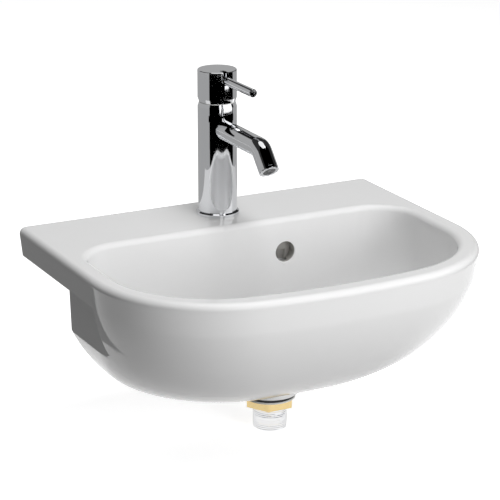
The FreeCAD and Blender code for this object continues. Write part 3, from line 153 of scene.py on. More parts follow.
class NodeSheet(NodeKit):
    """A material's node tree, with what the finishes have in common."""

    def __init__(self, name: str) -> None:
        """Starts a material of that name, which holds only its output."""
        self.material = bpy.data.materials.new(name)
        self.material.use_nodes = True
        super().__init__(self.material.node_tree)
        self.tree.nodes.clear()
        self.output = self.add("ShaderNodeOutputMaterial")

    def noise(self, scale: float, detail: float, stretch: Point = (1, 1, 1)) -> Socket:
        """Noise in the object's own coordinates.

        Args:
            scale: noise scale per metre.
            detail: octaves.
            stretch: scale of each axis.

        Returns:
            The noise's factor socket.
        """
        place = self.add("ShaderNodeTexCoord").outputs["Object"]
        stretched = self.out("ShaderNodeMapping", Vector=place, Scale=stretch)
        return self.out("ShaderNodeTexNoise", Vector=stretched, Scale=scale, Detail=detail)

    def ramp(self, source: Socket, start: float, end: float, low: float, high: float) -> Socket:
        """Maps a value's range from start to end onto low to high, and holds the result beyond it."""
        limits = {"From_Min": start, "From_Max": end, "To_Min": low, "To_Max": high}
        return self.out("ShaderNodeMapRange", Value=source, **limits)

    def spread(self, source: Socket, low: float, high: float) -> Socket:
        """Maps the middle of a noise onto a range."""
        return self.ramp(source, NOISE_LOW, NOISE_HIGH, low, high)

    def bump(self, source: Socket, height: float) -> Socket:
        """A normal bent by a height map from 0 to 1, whose full height is in millimetres."""
        return self.out("ShaderNodeBump", Height=source, Strength=1.0, Distance=height * MM)

    def show(self, shader: Socket) -> Material:
        """Makes a shader the material's surface and returns the material."""
        self.join(shader, self.output.inputs["Surface"])
        return self.material

    def surface(self, colour: Socket, rough: Socket, normal: Socket, **inputs: float) -> Material:
        """Ends the material with a principled shader, other inputs by name, and returns it."""
        looks = {"Base_Color": colour, "Roughness": rough, "Normal": normal}
        return self.show(self.out("ShaderNodeBsdfPrincipled", **looks, **inputs))


# ---- Finishes ----
def scaled(colour: Point, factor: float, lift: float = 0) -> Point:
    """A colour made brighter or darker, at most white."""
    return tuple(min(1.0, channel * factor + lift) for channel in colour)


@dataclass(frozen=True)
class Glaze:
    """White glazed ceramic, matt where it stood in the kiln.

    Attributes:
        colour: glaze colour.
        paler: how much brighter its pale patches are.
        gloss: roughness of the glaze.
        duller: how much rougher its dull patches are.
        ripple: height of the glaze's slow ripple in millimetres.
        bare: roughness of the unglazed feet.
        feet: Z of the normal on which a face counts as a foot, and from which it doesn't.
        chamber_shade: a dull grey painted inside the overflow's chamber as its shade.
        chamber: middle of the overflow's chamber in millimetres.
        chamber_reach: how far round it the painted shade is full.
        chamber_fade: how much further the painted shade fades out.
        patches: noise of the pale patches.
        dull_patches: noise of the dull patches.
        ripples: noise of the ripple.
    """

    colour: Point = (0.87, 0.87, 0.87)
    paler: float = 1.015
    gloss: float = 0.07
    duller: float = 1.5
    ripple: float = 0.02
    bare: float = 0.6
    feet: tuple[float, float] = (-0.98, -0.93)
    chamber_shade: Point = (0.4, 0.39, 0.37)
    chamber: Point = (65, -113, -8)
    chamber_reach: float = 15.4
    chamber_fade: float = 1.05
    patches: Grain = (14, 2)
    dull_patches: Grain = (40, 3)
    ripples: Grain = (30, 1)

    def bare_feet(self, sheet: NodeSheet, gloss: Socket) -> Socket:
        """Roughness that turns matt on the faces that look straight down, which stood in the kiln."""
        normal = sheet.add("ShaderNodeTexCoord").outputs["Normal"]
        parts = sheet.add("ShaderNodeSeparateXYZ", Vector=normal)
        down = sheet.ramp(parts.outputs["Z"], *self.feet, self.bare, 0)
        return sheet.reckon("MAXIMUM", down, gloss)

    def shade_in_chamber(self, sheet: NodeSheet, glaze: Socket) -> Socket:
        """Colour darkened to a dull grey inside the overflow's chamber: painted shade in the recess."""
        place = sheet.add("ShaderNodeTexCoord").outputs["Object"]
        away = sheet.distance(place, [part * MM for part in self.chamber])
        reach = self.chamber_reach * MM
        # painted shade: full dull grey within the reach, fading back to the glaze beyond it
        near = sheet.ramp(away, reach, reach * self.chamber_fade, 1, 0)
        return sheet.blend(near, glaze, self.chamber_shade)

    def make(self) -> Material:
        """Builds the glaze."""
        sheet = NodeSheet("white_glaze")
        paler = scaled(self.colour, self.paler)
        glaze = sheet.blend(sheet.noise(*self.patches), self.colour, paler)
        gloss = sheet.spread(sheet.noise(*self.dull_patches), self.gloss, self.gloss * self.duller)
        normal = sheet.bump(sheet.noise(*self.ripples), self.ripple)
        colour, rough = self.shade_in_chamber(sheet, glaze), self.bare_feet(sheet, gloss)
        return sheet.surface(colour, rough, normal, IOR=GLASSY_IOR)


@dataclass(frozen=True)
class Metal:
    """A bare or plated metal.

    Attributes:
        name: name of the finish.
        colour: reflected colour.
        smooth: roughness where it is cleanest.
        dull: roughness where it is handled.
        stretch: scale of its fine marks along each axis.
        relief: height of those marks in millimetres.
        darker: how much darker its dark patches are.
        marks: noise of the fine marks.
        patches: noise of the dark patches.
    """

    name: str
    colour: Point
    smooth: float
    dull: float
    stretch: Point = (1, 1, 1)
    relief: float = 0.0004
    darker: float = 0.97
    marks: Grain = (260, 4)
    patches: Grain = (24, 2)

    def make(self) -> Material:
        """Builds the metal."""
        sheet = NodeSheet(self.name)
        marks = sheet.noise(*self.marks, self.stretch)
        darker = scaled(self.colour, self.darker)
        colour = sheet.blend(sheet.noise(*self.patches), darker, self.colour)
        rough = sheet.spread(marks, self.smooth, self.dull)
        return sheet.surface(colour, rough, sheet.bump(marks, self.relief), Metallic=1.0)


@dataclass(frozen=True)
class Moulded:
    """Rubber, plastic or plain fired ceramic.

    Attributes:
        name: name of the finish.
        colour: body colour.
        rough: mean roughness.
        relief: height of its fine grain in millimetres.
        paler: how much brighter its pale patches are.
        lift: what is added to them.
        sway: how far the roughness goes to either side of its mean.
        grain: noise of the fine grain.
        patches: noise of the pale patches.
    """

    name: str
    colour: Point
    rough: float
    relief: float = 0.01
    paler: float = 1.12
    lift: float = 0.01
    sway: float = 0.15
    grain: Grain = (900, 3)
    patches: Grain = (60, 3)

    def make(self) -> Material:
        """Builds the moulded finish."""
        sheet = NodeSheet(self.name)
        grain = sheet.noise(*self.grain)
        paler = scaled(self.colour, self.paler, self.lift)
        colour = sheet.blend(sheet.noise(*self.patches), self.colour, paler)
        rough = sheet.spread(grain, self.rough * (1 - self.sway), self.rough * (1 + self.sway))
        return sheet.surface(colour, rough, sheet.bump(grain, self.relief), IOR=GLASSY_IOR)


class Finish(Enum):
    """The finishes of the object."""

    GLAZE = Glaze()
    CHROME = Metal("polished_chrome", (0.86, 0.87, 0.89), 0.02, 0.05)
    STEEL = Metal("plain_steel", (0.6, 0.6, 0.61), 0.22, 0.34, (1, 1, 12), 0.002)
    BRASS = Metal("turned_brass", (0.78, 0.6, 0.3), 0.16, 0.28, (1, 1, 30), 0.002)
    RUBBER = Moulded("black_rubber", (0.025, 0.025, 0.026), 0.62, 0.02)
    PLASTIC = Moulded("pale_plastic", (0.72, 0.72, 0.7), 0.38)
    DARK_PLASTIC = Moulded("dark_plastic", (0.06, 0.06, 0.06), 0.35)
    DISC = Moulded("lapped_ceramic", (0.83, 0.81, 0.75), 0.16, 0.001)


Dressing = tuple[tuple[Finish, tuple[str, ...]], ...]


class Paintbox:
    """Makes each finish once and puts it on pieces and on nodes of the frame."""

    def __init__(self) -> None:
        """Starts with no finish made."""
        self.made: dict[Finish, Material] = {}

    def get(self, finish: Finish) -> Material:
        """The material of a finish, made on first use."""
        if finish not in self.made:
            self.made[finish] = finish.value.make()
        return self.made[finish]

    def dress(self, parts: Dressing) -> None:
        """Gives nodes of the frame their finishes."""
        for finish, nodes in parts:
            for name in nodes:
                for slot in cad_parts[name].material_slots:
                    slot.material = self.get(finish)
                LOG.info("%s dressed in %s", name, finish.name.lower())


# ---- Meshes ----
def object_from(name: str, shape: bmesh.types.BMesh) -> Object:
    """Turns a closed bmesh into an object with its normals outwards.

    Args:
        name: name of the object.
        shape: the mesh, which is used up.

    Returns:
        The object, linked into the scene.
    """
    bmesh.ops.recalc_face_normals(shape, faces=shape.faces)
    mesh = bpy.data.meshes.new(name)
    shape.to_mesh(mesh)
    shape.free()
    made = bpy.data.objects.new(name, mesh)
    bpy.context.scene.collection.objects.link(made)
    return made


def skin(name: str, loops: list[list[Point]]) -> Object:
    """A closed skin through loops of points, capped at both ends.

    Args:
        name: name of the object.
        loops: rings of equally many points in millimetres.

    Returns:
        The object.
    """
    shape = bmesh.new()
    rings = [[shape.verts.new(Vector(point) * MM) for point in loop] for loop in loops]
    count = len(rings[0])
    for lower, upper in zip(rings, rings[1:]):
        for index in range(count):
            after = (index + 1) % count
            shape.faces.new((lower[index], lower[after], upper[after], upper[index]))
    shape.faces.new(rings[0])
    shape.faces.new(rings[-1])
    return object_from(name, shape)


def turned(name: str, profile: Profile, start: Vector, along: Vector, steps: int = ROUND_STEPS) -> Object:
    """A solid of revolution that begins and ends on its axis.

    Args:
        name: name of the object.
        profile: pairs of radius and distance along the axis, radii above 0, in millimetres.
        start: where the axis starts, in millimetres.
        along: direction of the axis.
        steps: facets round it.

    Returns:
        The object.
    """
    turn = along.to_track_quat("Z", "Y").to_matrix()
    loops = []
    for radius, height in profile:
        angles = [2 * math.pi * step / steps for step in range(steps)]
        ring = [Vector((radius * math.cos(a), radius * math.sin(a), height)) for a in angles]
        loops.append([tuple(start + turn @ point) for point in ring])
    return skin(name, loops)


def rod(name: str, start: Point, end: Point, radius: float, steps: int = ROUND_STEPS) -> Object:
    """A plain cylinder between two points in millimetres."""
    run = Vector(end) - Vector(start)
    return turned(name, [(radius, 0), (radius, run.length)], Vector(start), run, steps)


def ball(name: str, centre: Point, radius: float) -> Object:
    """A sphere in millimetres."""
    shape = bmesh.new()
    steps = 48
    bmesh.ops.create_uvsphere(shape, u_segments=steps, v_segments=steps // 2, radius=radius * MM)
    bmesh.ops.translate(shape, verts=shape.verts, vec=Vector(centre) * MM)
    return object_from(name, shape)


def block(name: str, low: Point, high: Point) -> Object:
    """A box between two corners in millimetres."""
    corners = [(low[0], low[1]), (high[0], low[1]), (high[0], high[1]), (low[0], high[1])]
    return skin(name, [[(x, y, z) for x, y in corners] for z in (low[2], high[2])])


class Operation(Enum):
    """What a boolean does."""

    ADD = "UNION"
    CUT = "DIFFERENCE"


def quarter(steps: int) -> list[float]:
    """Angles from 0 to a right angle in even steps."""
    return [math.pi / 2 * step / steps for step in range(steps + 1)]


def settle(target: Object) -> None:
    """Makes an object's modifiers part of its mesh."""
    graph = bpy.context.evaluated_depsgraph_get()
    old = target.data
    mesh = bpy.data.meshes.new_from_object(target.evaluated_get(graph), depsgraph=graph)
    target.modifiers.clear()
    target.data = mesh
    mesh.name = target.name
    bpy.data.meshes.remove(old)


def combine(target: Object, operation: Operation, tools: list[Object]) -> None:
    """Adds tools to an object or cuts them out of it, one after another, and removes them.

    Args:
        target: the object that stays.
        operation: add or cut.
        tools: the objects that are used up.
    """
    for tool in tools:
        step = target.modifiers.new("step", "BOOLEAN")
        step.operation = operation.value
        step.solver = "EXACT"
        step.object = tool
        settle(target)
        bpy.data.objects.remove(tool)


def shade(target: Object, sharp_degrees: float, flat_weight: int = 80) -> None:
    """Smooths an object's shading except over sharp edges, with flat faces leading.

    Args:
        target: the object.
        sharp_degrees: angle from which an edge stays sharp.
        flat_weight: how much large faces lead, 50 for not at all and 100 for most.
    """
    target.data.shade_smooth()
    target.data.set_sharp_from_angle(angle=math.radians(sharp_degrees))
    weighted = target.modifiers.new("flat_faces_lead", "WEIGHTED_NORMAL")
    weighted.keep_sharp = True
    weighted.weight = flat_weight
    settle(target)


def finish_piece(piece: Object, paint: Material, body: str, slot: str, *nodes: str) -> None:
    """Dresses a new piece and puts it on its body in place of nodes of the frame.

    Args:
        piece: the new piece.
        paint: its material.
        body: the body it rides on.
        slot: the record's material slot; not used.
        nodes: the nodes it stands for.
    """
    piece.data.materials.clear()
    piece.data.materials.append(paint)
    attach(piece, body)
    if nodes:
        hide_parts(*nodes)
    LOG.info("%s made with %d faces", piece.name, len(piece.data.polygons))


# ---- Basin ----
BACK_STEPS, BACK_ARC, SIDE_STEPS, CORNER_ARC, BOW_ARC = 14, 10, 16, 30, 18
LEAST_RADIUS = 0.5


@dataclass(frozen=True)
class Plan:
    """A D-shaped outline: straight back and sides, round corners and a bowed front.

    Attributes:
        half_width: half of its width.
        back: Y of the back.
        front: Y of the foremost point.
        back_radius: radius of the back corners.
        corner_radius: radius of the front corners.
        front_radius: radius of the bow.
    """

    half_width: float
    back: float
    front: float
    back_radius: float
    corner_radius: float
    front_radius: float

    def grown(self, by: float) -> "Plan":
        """The outline moved out by an even distance, or in by a negative one."""
        return Plan(
            self.half_width + by,
            self.back + by,
            self.front - by,
            max(self.back_radius + by, LEAST_RADIUS),
            self.corner_radius + by,
            self.front_radius + by,
        )

    def right_half(self) -> Profile:
        """Points from the middle of the back round the right side to the middle of the front.

        Returns:
            Pairs of X and Y.
        """
        inner = self.half_width - self.corner_radius
        bow_y = self.front + self.front_radius
        shoulder = bow_y - math.sqrt((self.front_radius - self.corner_radius) ** 2 - inner**2)
        meet = math.atan2(shoulder - bow_y, inner)
        rear_x, rear_y = self.half_width - self.back_radius, self.back - self.back_radius
        side = shoulder - rear_y
        points = [(rear_x * step / BACK_STEPS, self.back) for step in range(BACK_STEPS)]
        points += arc((rear_x, rear_y), self.back_radius, math.pi / 2, 0, BACK_ARC)
        points += [(self.half_width, rear_y + side * step / SIDE_STEPS) for step in range(SIDE_STEPS)]
        points += arc((inner, shoulder), self.corner_radius, 0, meet, CORNER_ARC)
        points += arc((0, bow_y), self.front_radius, meet, -math.pi / 2, BOW_ARC)
        points.append((0, self.front))
        return points

    def loop(self, height: float) -> list[Point]:
        """The whole outline at a height."""
        right = self.right_half()
        left = [(-x, y) for x, y in reversed(right[1:-1])]
        return [(x, y, height) for x, y in right + left]


def arc(centre: tuple[float, float], radius: float, start: float, end: float, steps: int) -> Profile:
    """Points along an arc without its last one.

    Args:
        centre: its centre.
        radius: its radius.
        start: first angle in radians.
        end: last angle.
        steps: how many points.

    Returns:
        The points.
    """
    angles = [start + (end - start) * step / steps for step in range(steps)]
    return [(centre[0] + radius * math.cos(a), centre[1] + radius * math.sin(a)) for a in angles]


@dataclass
class Basin:
    """The ceramic: bowl, rim, deck, seat on the worktop and overflow duct. Sizes in millimetres."""

    # The whole
    width: float = 500
    depth: float = 405
    rim: float = 36.5
    drop: float = 156
    corner: float = 162
    bow: float = 880
    back_corner: float = 10
    rim_round: float = 8
    upright: float = 1
    # The outside, which leans and curves in below the rim
    taper: float = 3
    skin_side: float = 112
    skin_front: float = 196
    skin_side_lean: float = 0.133
    skin_front_lean: float = 0.262
    crown: float = 4.6
    corner_loss: float = 0.25
    base_inset: float = 0.03
    # The bowl
    side_rim: float = 18
    front_rim: float = 21.5
    deck: float = 113
    roll: float = 7.5
    bowl_corner: float = 132
    bowl_back_corner: float = 56
    bowl_bow: float = 840
    floor: float = 122
    bowl_side: float = 120
    bowl_front: float = 140
    bowl_back: float = 53
    bowl_lean: float = 0.05
    floor_corner: float = 38
    floor_reach: float = 0.985
    floor_inset: float = 0.05
    # The back, the seat on the worktop and the hollow under the deck
    wall: float = 12
    wall_lean: float = 7.5
    knee: float = 92
    base_back: float = 150
    land: float = 22
    land_reach: float = 233
    deck_thickness: float = 14
    overlap: float = 1
    # The holes for tap and waste
    tap_setback: float = 60
    tap_hole: float = 17.5
    waste_setback: float = 205
    waste_hole: float = 23
    waste_recess: float = 34
    recess_depth: float = 3
    waste_bevel: float = 0.8
    boss: float = 36
    # The overflow and its duct
    overflow_x: float = 65
    overflow_drop: float = 8
    overflow_radius: float = 13
    overflow_back: float = 109
    overflow_lip: float = 2.2
    lip_behind_edge: float = 1.9
    mouth_reach: float = 20
    chamber_wall: float = 6
    duct: float = 7
    duct_wall: float = 5
    duct_start: float = 2
    duct_bends: tuple[Point, Point] = ((60, -112, -70), (35, -135, -130))
    duct_end: float = 141
    # How finely it is drawn
    support: float = 1.2
    lip_steps: int = 6
    skin_steps: int = 26
    bowl_steps: int = 44
    round_steps: int = 9

    def skin_loops(self) -> list[list[Point]]:
        """The outside from the flat base up to the plane of the land.

        Returns:
            The loops, lowest first.
        """
        full = self.drop + self.crown
        last = math.asin(self.drop / full)
        loops = []
        for step in range(self.skin_steps, -1, -1):
            angle = last * step / self.skin_steps
            depth, curve = full * math.sin(angle), 1 - math.cos(angle)
            side = self.taper + self.skin_side * curve + self.skin_side_lean * depth
            front = self.taper + self.skin_front * curve + self.skin_front_lean * depth
            corner = self.corner * (1 - self.corner_loss * curve)
            plan = Plan(self.width / 2 - side, 0, front - self.depth, self.back_corner, corner, self.bow)
            loops.append(plan.loop(-depth))
        base = loops[0]
        middle = Vector((0, sum(p[1] for p in base) / len(base), base[0][2]))
        loops.insert(0, [tuple(Vector(p).lerp(middle, self.base_inset)) for p in base])
        return loops

    def rim_loops(self) -> list[list[Point]]:
        """The upright flank, its round-over, the top and the rolled edge of the bowl.

        Returns:
            The loops from the flank up, over the rim and down to the bowl's wall.
        """
        plan = Plan(self.width / 2, 0, -self.depth, self.back_corner, self.corner, self.bow)
        band = self.rim - self.rim_round - self.upright
        loops = [plan.loop(band), plan.loop(band + self.upright)]
        for angle in quarter(self.round_steps)[1:]:
            inset = self.rim_round * (1 - math.cos(angle))
            loops.append(plan.grown(-inset).loop(self.rim - self.rim_round * (1 - math.sin(angle))))
        loops.append(plan.grown(-self.rim_round - self.support).loop(self.rim))
        mouth = self.bowl_plan(0)[0]
        loops.append(mouth.grown(self.roll + self.support).loop(self.rim))
        for angle in quarter(self.round_steps):
            out = self.roll * (1 - math.sin(angle))
            loops.append(mouth.grown(out).loop(self.rim - self.roll * (1 - math.cos(angle))))
        return loops

    def bowl_plan(self, angle: float) -> tuple[Plan, float]:
        """The inside of the bowl.

        Args:
            angle: place on the wall's quarter curve, 0 at the edge.

        Returns:
            The plan and its height.
        """
        reach = math.sin(angle)
        steep, sloped = 1 - math.sqrt(1 - reach**4), 1 - math.cos(angle)
        blend = sloped / (1 - math.cos(math.asin(self.floor_reach)))
        start = self.rim - self.roll - self.upright
        depth = reach / self.floor_reach * (self.floor + start)
        lean = self.bowl_lean * depth
        plan = Plan(
            self.width / 2 - self.side_rim - self.roll - self.bowl_side * steep - lean,
            -self.deck - self.roll - self.bowl_back * steep - lean,
            -self.depth + self.front_rim + self.roll + self.bowl_front * sloped + lean,
            self.bowl_back_corner + (self.floor_corner - self.bowl_back_corner) * blend,
            self.bowl_corner + (self.floor_corner - self.bowl_corner) * blend,
            self.bowl_bow,
        )
        return plan, start - depth

    def bowl_loops(self) -> list[list[Point]]:
        """The bowl's wall from under its rolled edge to the floor.

        Returns:
            The loops, highest first.
        """
        last = math.asin(self.floor_reach)
        loops = []
        for step in range(self.bowl_steps + 1):
            plan, height = self.bowl_plan(last * step / self.bowl_steps)
            loops.append(plan.loop(height))
        floor = loops[-1]
        drain = Vector((0, -self.waste_setback, -self.floor))
        loops.append([tuple(Vector(p).lerp(drain, self.floor_inset)) for p in floor])
        return loops

    def cut_seat(self, body: Object) -> None:
        """Cuts the worktop step, the back of the bowl and the hollow under the deck."""
        half, inner = self.width / 2, self.width / 2 - self.land
        far = self.width
        base = -self.drop - self.wall
        left = block("left_step", (-far, -self.land_reach, base), (-inner, self.wall, 0))
        right = block("right_step", (inner, -self.land_reach, base), (far, self.wall, 0))
        top_y = -self.deck - self.roll + self.wall - self.wall_lean / 2
        outline = [
            (self.wall, 0),
            (top_y, 0),
            (top_y - self.wall_lean, -self.knee),
            (-self.base_back, base),
            (self.wall, base),
        ]
        behind = skin("behind_bowl", [[(x, y, z) for y, z in outline] for x in (-far, far)])
        reach = half - self.land - self.wall / 2
        low = (-reach, -self.deck - self.roll + self.wall, -self.overlap)
        hollow = block("deck_hollow", low, (reach, -self.land, self.rim - self.deck_thickness))
        combine(body, Operation.CUT, [left, right, behind, hollow])

    def duct_run(self, name: str, radius: float, steps: int) -> list[Object]:
        """Rods along the overflow duct, from the chamber to the waste hole, and balls at its bends.

        Args:
            name: start of their names.
            radius: radius of all of them.
            steps: facets round the rods.

        Returns:
            The rods and balls.
        """
        start_y = self.duct_start - self.overflow_back - self.duct_wall
        start = (self.overflow_x, start_y, -self.overflow_drop)
        path = [start, *self.duct_bends, (0, self.waste_hole - self.waste_setback, -self.duct_end)]
        runs = enumerate(zip(path, path[1:]))
        rods = [rod(f"{name}_{k}", first, last, radius, steps) for k, (first, last) in runs]
        return rods + [ball(f"{name}_bend_{k}", bend, radius) for k, bend in enumerate(self.duct_bends)]

    def add_duct(self, body: Object) -> None:
        """Adds the boss round the waste hole and the walls of the overflow duct."""
        top = (0, -self.waste_setback, -self.floor - self.duct_wall)
        boss = rod("boss", top, (0, -self.waste_setback, -self.drop), self.boss, FINE_STEPS)
        front = (self.overflow_x, -self.deck - self.roll + self.duct_wall, -self.overflow_drop)
        back = (self.overflow_x, -self.overflow_back + self.duct_wall, -self.overflow_drop)
        chamber = rod("chamber", front, back, self.overflow_radius + self.chamber_wall)
        walls = self.duct_run("duct", self.duct + self.duct_wall, ROUND_STEPS)
        combine(boss, Operation.ADD, [chamber, *walls])
        combine(body, Operation.ADD, [boss])

    def cut_holes(self, body: Object) -> None:
        """Cuts the tap hole, the waste hole with its seat, and the overflow with its duct."""
        low, wide = -self.floor - self.recess_depth, self.waste_recess + self.waste_bevel
        profile = [
            (self.waste_hole, -self.drop - self.wall),
            (self.waste_hole, low),
            (self.waste_recess, low),
            (self.waste_recess, -self.floor - self.waste_bevel),
            (wide, -self.floor),
            (wide, -self.floor + self.wall),
        ]
        axis = Vector((0, -self.waste_setback, 0))
        waste = turned("waste_way", profile, axis, Vector((0, 0, 1)), FINE_STEPS)
        wall_y = -self.deck - self.roll - self.lip_behind_edge
        lip = self.overflow_lip
        profile = [(self.overflow_radius + lip, wall_y - self.mouth_reach)]
        for angle in quarter(self.lip_steps):
            radius = self.overflow_radius + lip * (1 - math.sin(angle))
            profile.append((radius, wall_y + lip * (1 - math.cos(angle))))
        profile.append((self.overflow_radius, -self.overflow_back))
        start = Vector((self.overflow_x, 0, -self.overflow_drop))
        hole = turned("overflow", profile, start, Vector((0, 1, 0)), FINE_STEPS)
        combine(waste, Operation.ADD, [*self.duct_run("bore", self.duct, BORE_STEPS), hole])
        tap_low = (0, -self.tap_setback, -self.overlap)
        tap_high = (0, -self.tap_setback, self.rim + self.wall)
        tap_way = rod("tap_way", tap_low, tap_high, self.tap_hole, FINE_STEPS)
        combine(body, Operation.CUT, [waste, tap_way])

    def make(self, paints: Paintbox) -> None:
        """Builds and dresses the ceramic."""
        body = skin("basin_ceramic", self.skin_loops() + self.rim_loops() + self.bowl_loops())
        self.cut_seat(body)
        self.add_duct(body)
        self.cut_holes(body)
        shade(body, 32)
        finish_piece(body, paints.get(Finish.GLAZE), "fixed", "ceramic", "basin")


# ---- What repeats ----
GROWN_CREASE = 40
TURN_STEPS, RIDGE_SIDES, WIRE_SIDES, RING_SIDES = 48, 6, 5, 6


class Growth(NodeKit):
    """A Geometry Nodes tree with named inputs, from which pieces grow that repeat or follow a rule."""

    def __init__(self, name: str, **inputs: str) -> None:
        """Starts a tree.

        Args:
            name: the tree's name.
            inputs: kind of each input by its name.
        """
        super().__init__(bpy.data.node_groups.new(name, "GeometryNodeTree"))
        sockets = self.tree.interface
        sockets.new_socket("Geometry", in_out="INPUT", socket_type="NodeSocketGeometry")
        sockets.new_socket("Geometry", in_out="OUTPUT", socket_type="NodeSocketGeometry")
        self.identifiers: dict[str, str] = {}
        for label, kind in inputs.items():
            socket = sockets.new_socket(label, in_out="INPUT", socket_type=f"NodeSocket{kind}")
            self.identifiers[label] = socket.identifier
        self.inlet = self.tree.nodes.new("NodeGroupInput")
        self.outlet = self.tree.nodes.new("NodeGroupOutput")

    def size(self, label: str) -> Socket:
        """The socket of one of the tree's own inputs."""
        return self.inlet.outputs[label]

    def times(self, first: Socket, second: Socket | float) -> Socket:
        """The product of a socket and a socket or number."""
        return self.reckon("MULTIPLY", first, second)

    def circle(self, radius: Socket, sides: int) -> Socket:
        """A round curve, drawn with a number of sides."""
        return self.out("GeometryNodeCurvePrimitiveCircle", Resolution=sides, Radius=radius)

    def sweep(self, path: Socket, section: Socket, capped: bool) -> Socket:
        """A section swept along a path, with or without caps at its ends."""
        return self.out("GeometryNodeCurveToMesh", Curve=path, Profile_Curve=section, Fill_Caps=capped)

    def end(self, geometry: Socket, **moves: Socket) -> None:
        """Ends the tree: moves the geometry, makes instances real and gives them the paint.

        Args:
            geometry: what was built.
            moves: its translation and rotation.
        """
        placed = self.out("GeometryNodeTransform", Geometry=geometry, **moves)
        real = self.out("GeometryNodeRealizeInstances", Geometry=placed)
        dressed = self.out("GeometryNodeSetMaterial", Geometry=real, Material=self.size("Paint"))
        self.join(dressed, self.outlet.inputs[0])

    def grow(self, name: str, **values: object) -> Object:
        """Grows a piece and makes it a plain mesh.

        Args:
            name: name of the object.
            values: value of each input by its name.

        Returns:
            The object, with its normals outwards.
        """
        made = bpy.data.objects.new(name, bpy.data.meshes.new(name))
        bpy.context.scene.collection.objects.link(made)
        rule = made.modifiers.new("rule", "NODES")
        rule.node_group = self.tree
        for label, value in values.items():
            rule[self.identifiers[label]] = value
        settle(made)
        shape = bmesh.new()
        shape.from_mesh(made.data)
        bmesh.ops.recalc_face_normals(shape, faces=shape.faces)
        shape.to_mesh(made.data)
        shape.free()
        made.data.shade_smooth()
        made.data.set_sharp_from_angle(angle=math.radians(GROWN_CREASE))
        return made


def thread_growth() -> Growth:
    """The ridge of a screw thread: a small section swept along a spiral.

    Returns:
        The tree.
    """
    sizes = {"Radius": "Float", "Pitch": "Float", "Turns": "Float", "Ridge": "Float"}
    growth = Growth("thread", **sizes, Place="Vector", Paint="Material")
    spiral = growth.out(
        "GeometryNodeCurveSpiral",
        Resolution=TURN_STEPS,
        Rotations=growth.size("Turns"),
        Start_Radius=growth.size("Radius"),
        End_Radius=growth.size("Radius"),
        Height=growth.times(growth.size("Pitch"), growth.size("Turns")),
    )
    ridge = growth.sweep(spiral, growth.circle(growth.size("Ridge"), RIDGE_SIDES), True)
    growth.end(ridge, Translation=growth.size("Place"))
    return growth


def mesh_growth() -> Growth:
    """A round sheet of wire mesh: six-sided rings of wire side by side.

    Returns:
        The tree.
    """
    sizes = {"Pitch": "Float", "Reach": "Float", "Wire": "Float"}
    growth = Growth("wire_mesh", **sizes, Place="Vector", Tilt="Vector", Paint="Material")
    pitch = growth.size("Pitch")
    rows = growth.times(pitch, math.sqrt(3))
    lattice = growth.add("GeometryNodeJoinGeometry")
    for columns, lines in ((9, 5), (10, 6)):
        grid = growth.out(
            "GeometryNodeMeshGrid",
            Size_X=growth.times(pitch, columns - 1),
            Size_Y=growth.times(rows, lines - 1),
            Vertices_X=columns,
            Vertices_Y=lines,
        )
        growth.join(grid, lattice.inputs[0])
    away = growth.distance(growth.out("GeometryNodeInputPosition"))
    outside = growth.add("FunctionNodeCompare", A=away, B=growth.size("Reach"))
    outside.operation = "GREATER_THAN"
    inside = growth.out(
        "GeometryNodeDeleteGeometry", Geometry=lattice.outputs[0], Selection=outside.outputs[0]
    )
    ring = growth.circle(growth.times(pitch, 1 / math.sqrt(3)), RING_SIDES)
    wire = growth.sweep(ring, growth.circle(growth.size("Wire"), WIRE_SIDES), False)
    turn = (0, 0, math.pi / RING_SIDES)
    rings = growth.out("GeometryNodeInstanceOnPoints", Points=inside, Instance=wire, Rotation=turn)
    growth.end(rings, Translation=growth.size("Place"), Rotation=growth.size("Tilt"))
    return growth


@dataclass(frozen=True)
class Thread:
    """A visible stretch of screw thread on a plain shank. Sizes in millimetres.

    Attributes:
        name: name of the piece.
        radius: radius of the shank.
        pitch: rise of one turn.
        low: where it starts.
        high: where it ends.
        setback: how far its axis stands in front of the back edge.
        ridge: how far it stands out.
    """

    name: str
    radius: float
    pitch: float
    low: float
    high: float
    setback: float
    ridge: float = 0.3

    def make(self, paint: Material, slot: str) -> None:
        """Grows the thread and puts it on the fixed body.

        Args:
            paint: its material.
            slot: the record's material slot.
        """
        piece = thread_growth().grow(
            self.name,
            Radius=self.radius * MM,
            Pitch=self.pitch * MM,
            Turns=(self.high - self.low) / self.pitch,
            Ridge=self.ridge * MM,
            Place=(0, -self.setback * MM, self.low * MM),
            Paint=paint,
        )
        finish_piece(piece, paint, "fixed", slot)


@dataclass(frozen=True)
class OutletMesh:
    """The wire mesh that the water leaves through, at the spout's end. Sizes in millimetres.

    Attributes:
        reach: radius within which the rings have their middles.
        pitch: distance from ring to ring.
        wire: radius of the wire.
        outlet: middle of the spout's end face.
        slope: how far the spout's end points down, degrees.
        proud: how far outside that end face the mesh lies.
    """

    reach: float = 6.9
    pitch: float = 1.7
    wire: float = 0.17
    outlet: Point = (0, -199.44, 128.01)
    slope: float = 48
    proud: float = 2.6

    def make(self, paint: Material) -> None:
        """Grows the mesh and puts it on the fixed body."""
        slope = math.radians(self.slope)
        outward = Vector((0, -math.cos(slope), -math.sin(slope)))
        place = (Vector(self.outlet) + outward * self.proud) * MM
        piece = mesh_growth().grow(
            "outlet_mesh",
            Pitch=self.pitch * MM,
            Reach=self.reach * MM,
            Wire=self.wire * MM,
            Place=tuple(place),
            Tilt=(slope - math.pi / 2, 0, 0),
            Paint=paint,
        )
        finish_piece(piece, paint, "fixed", "steel")


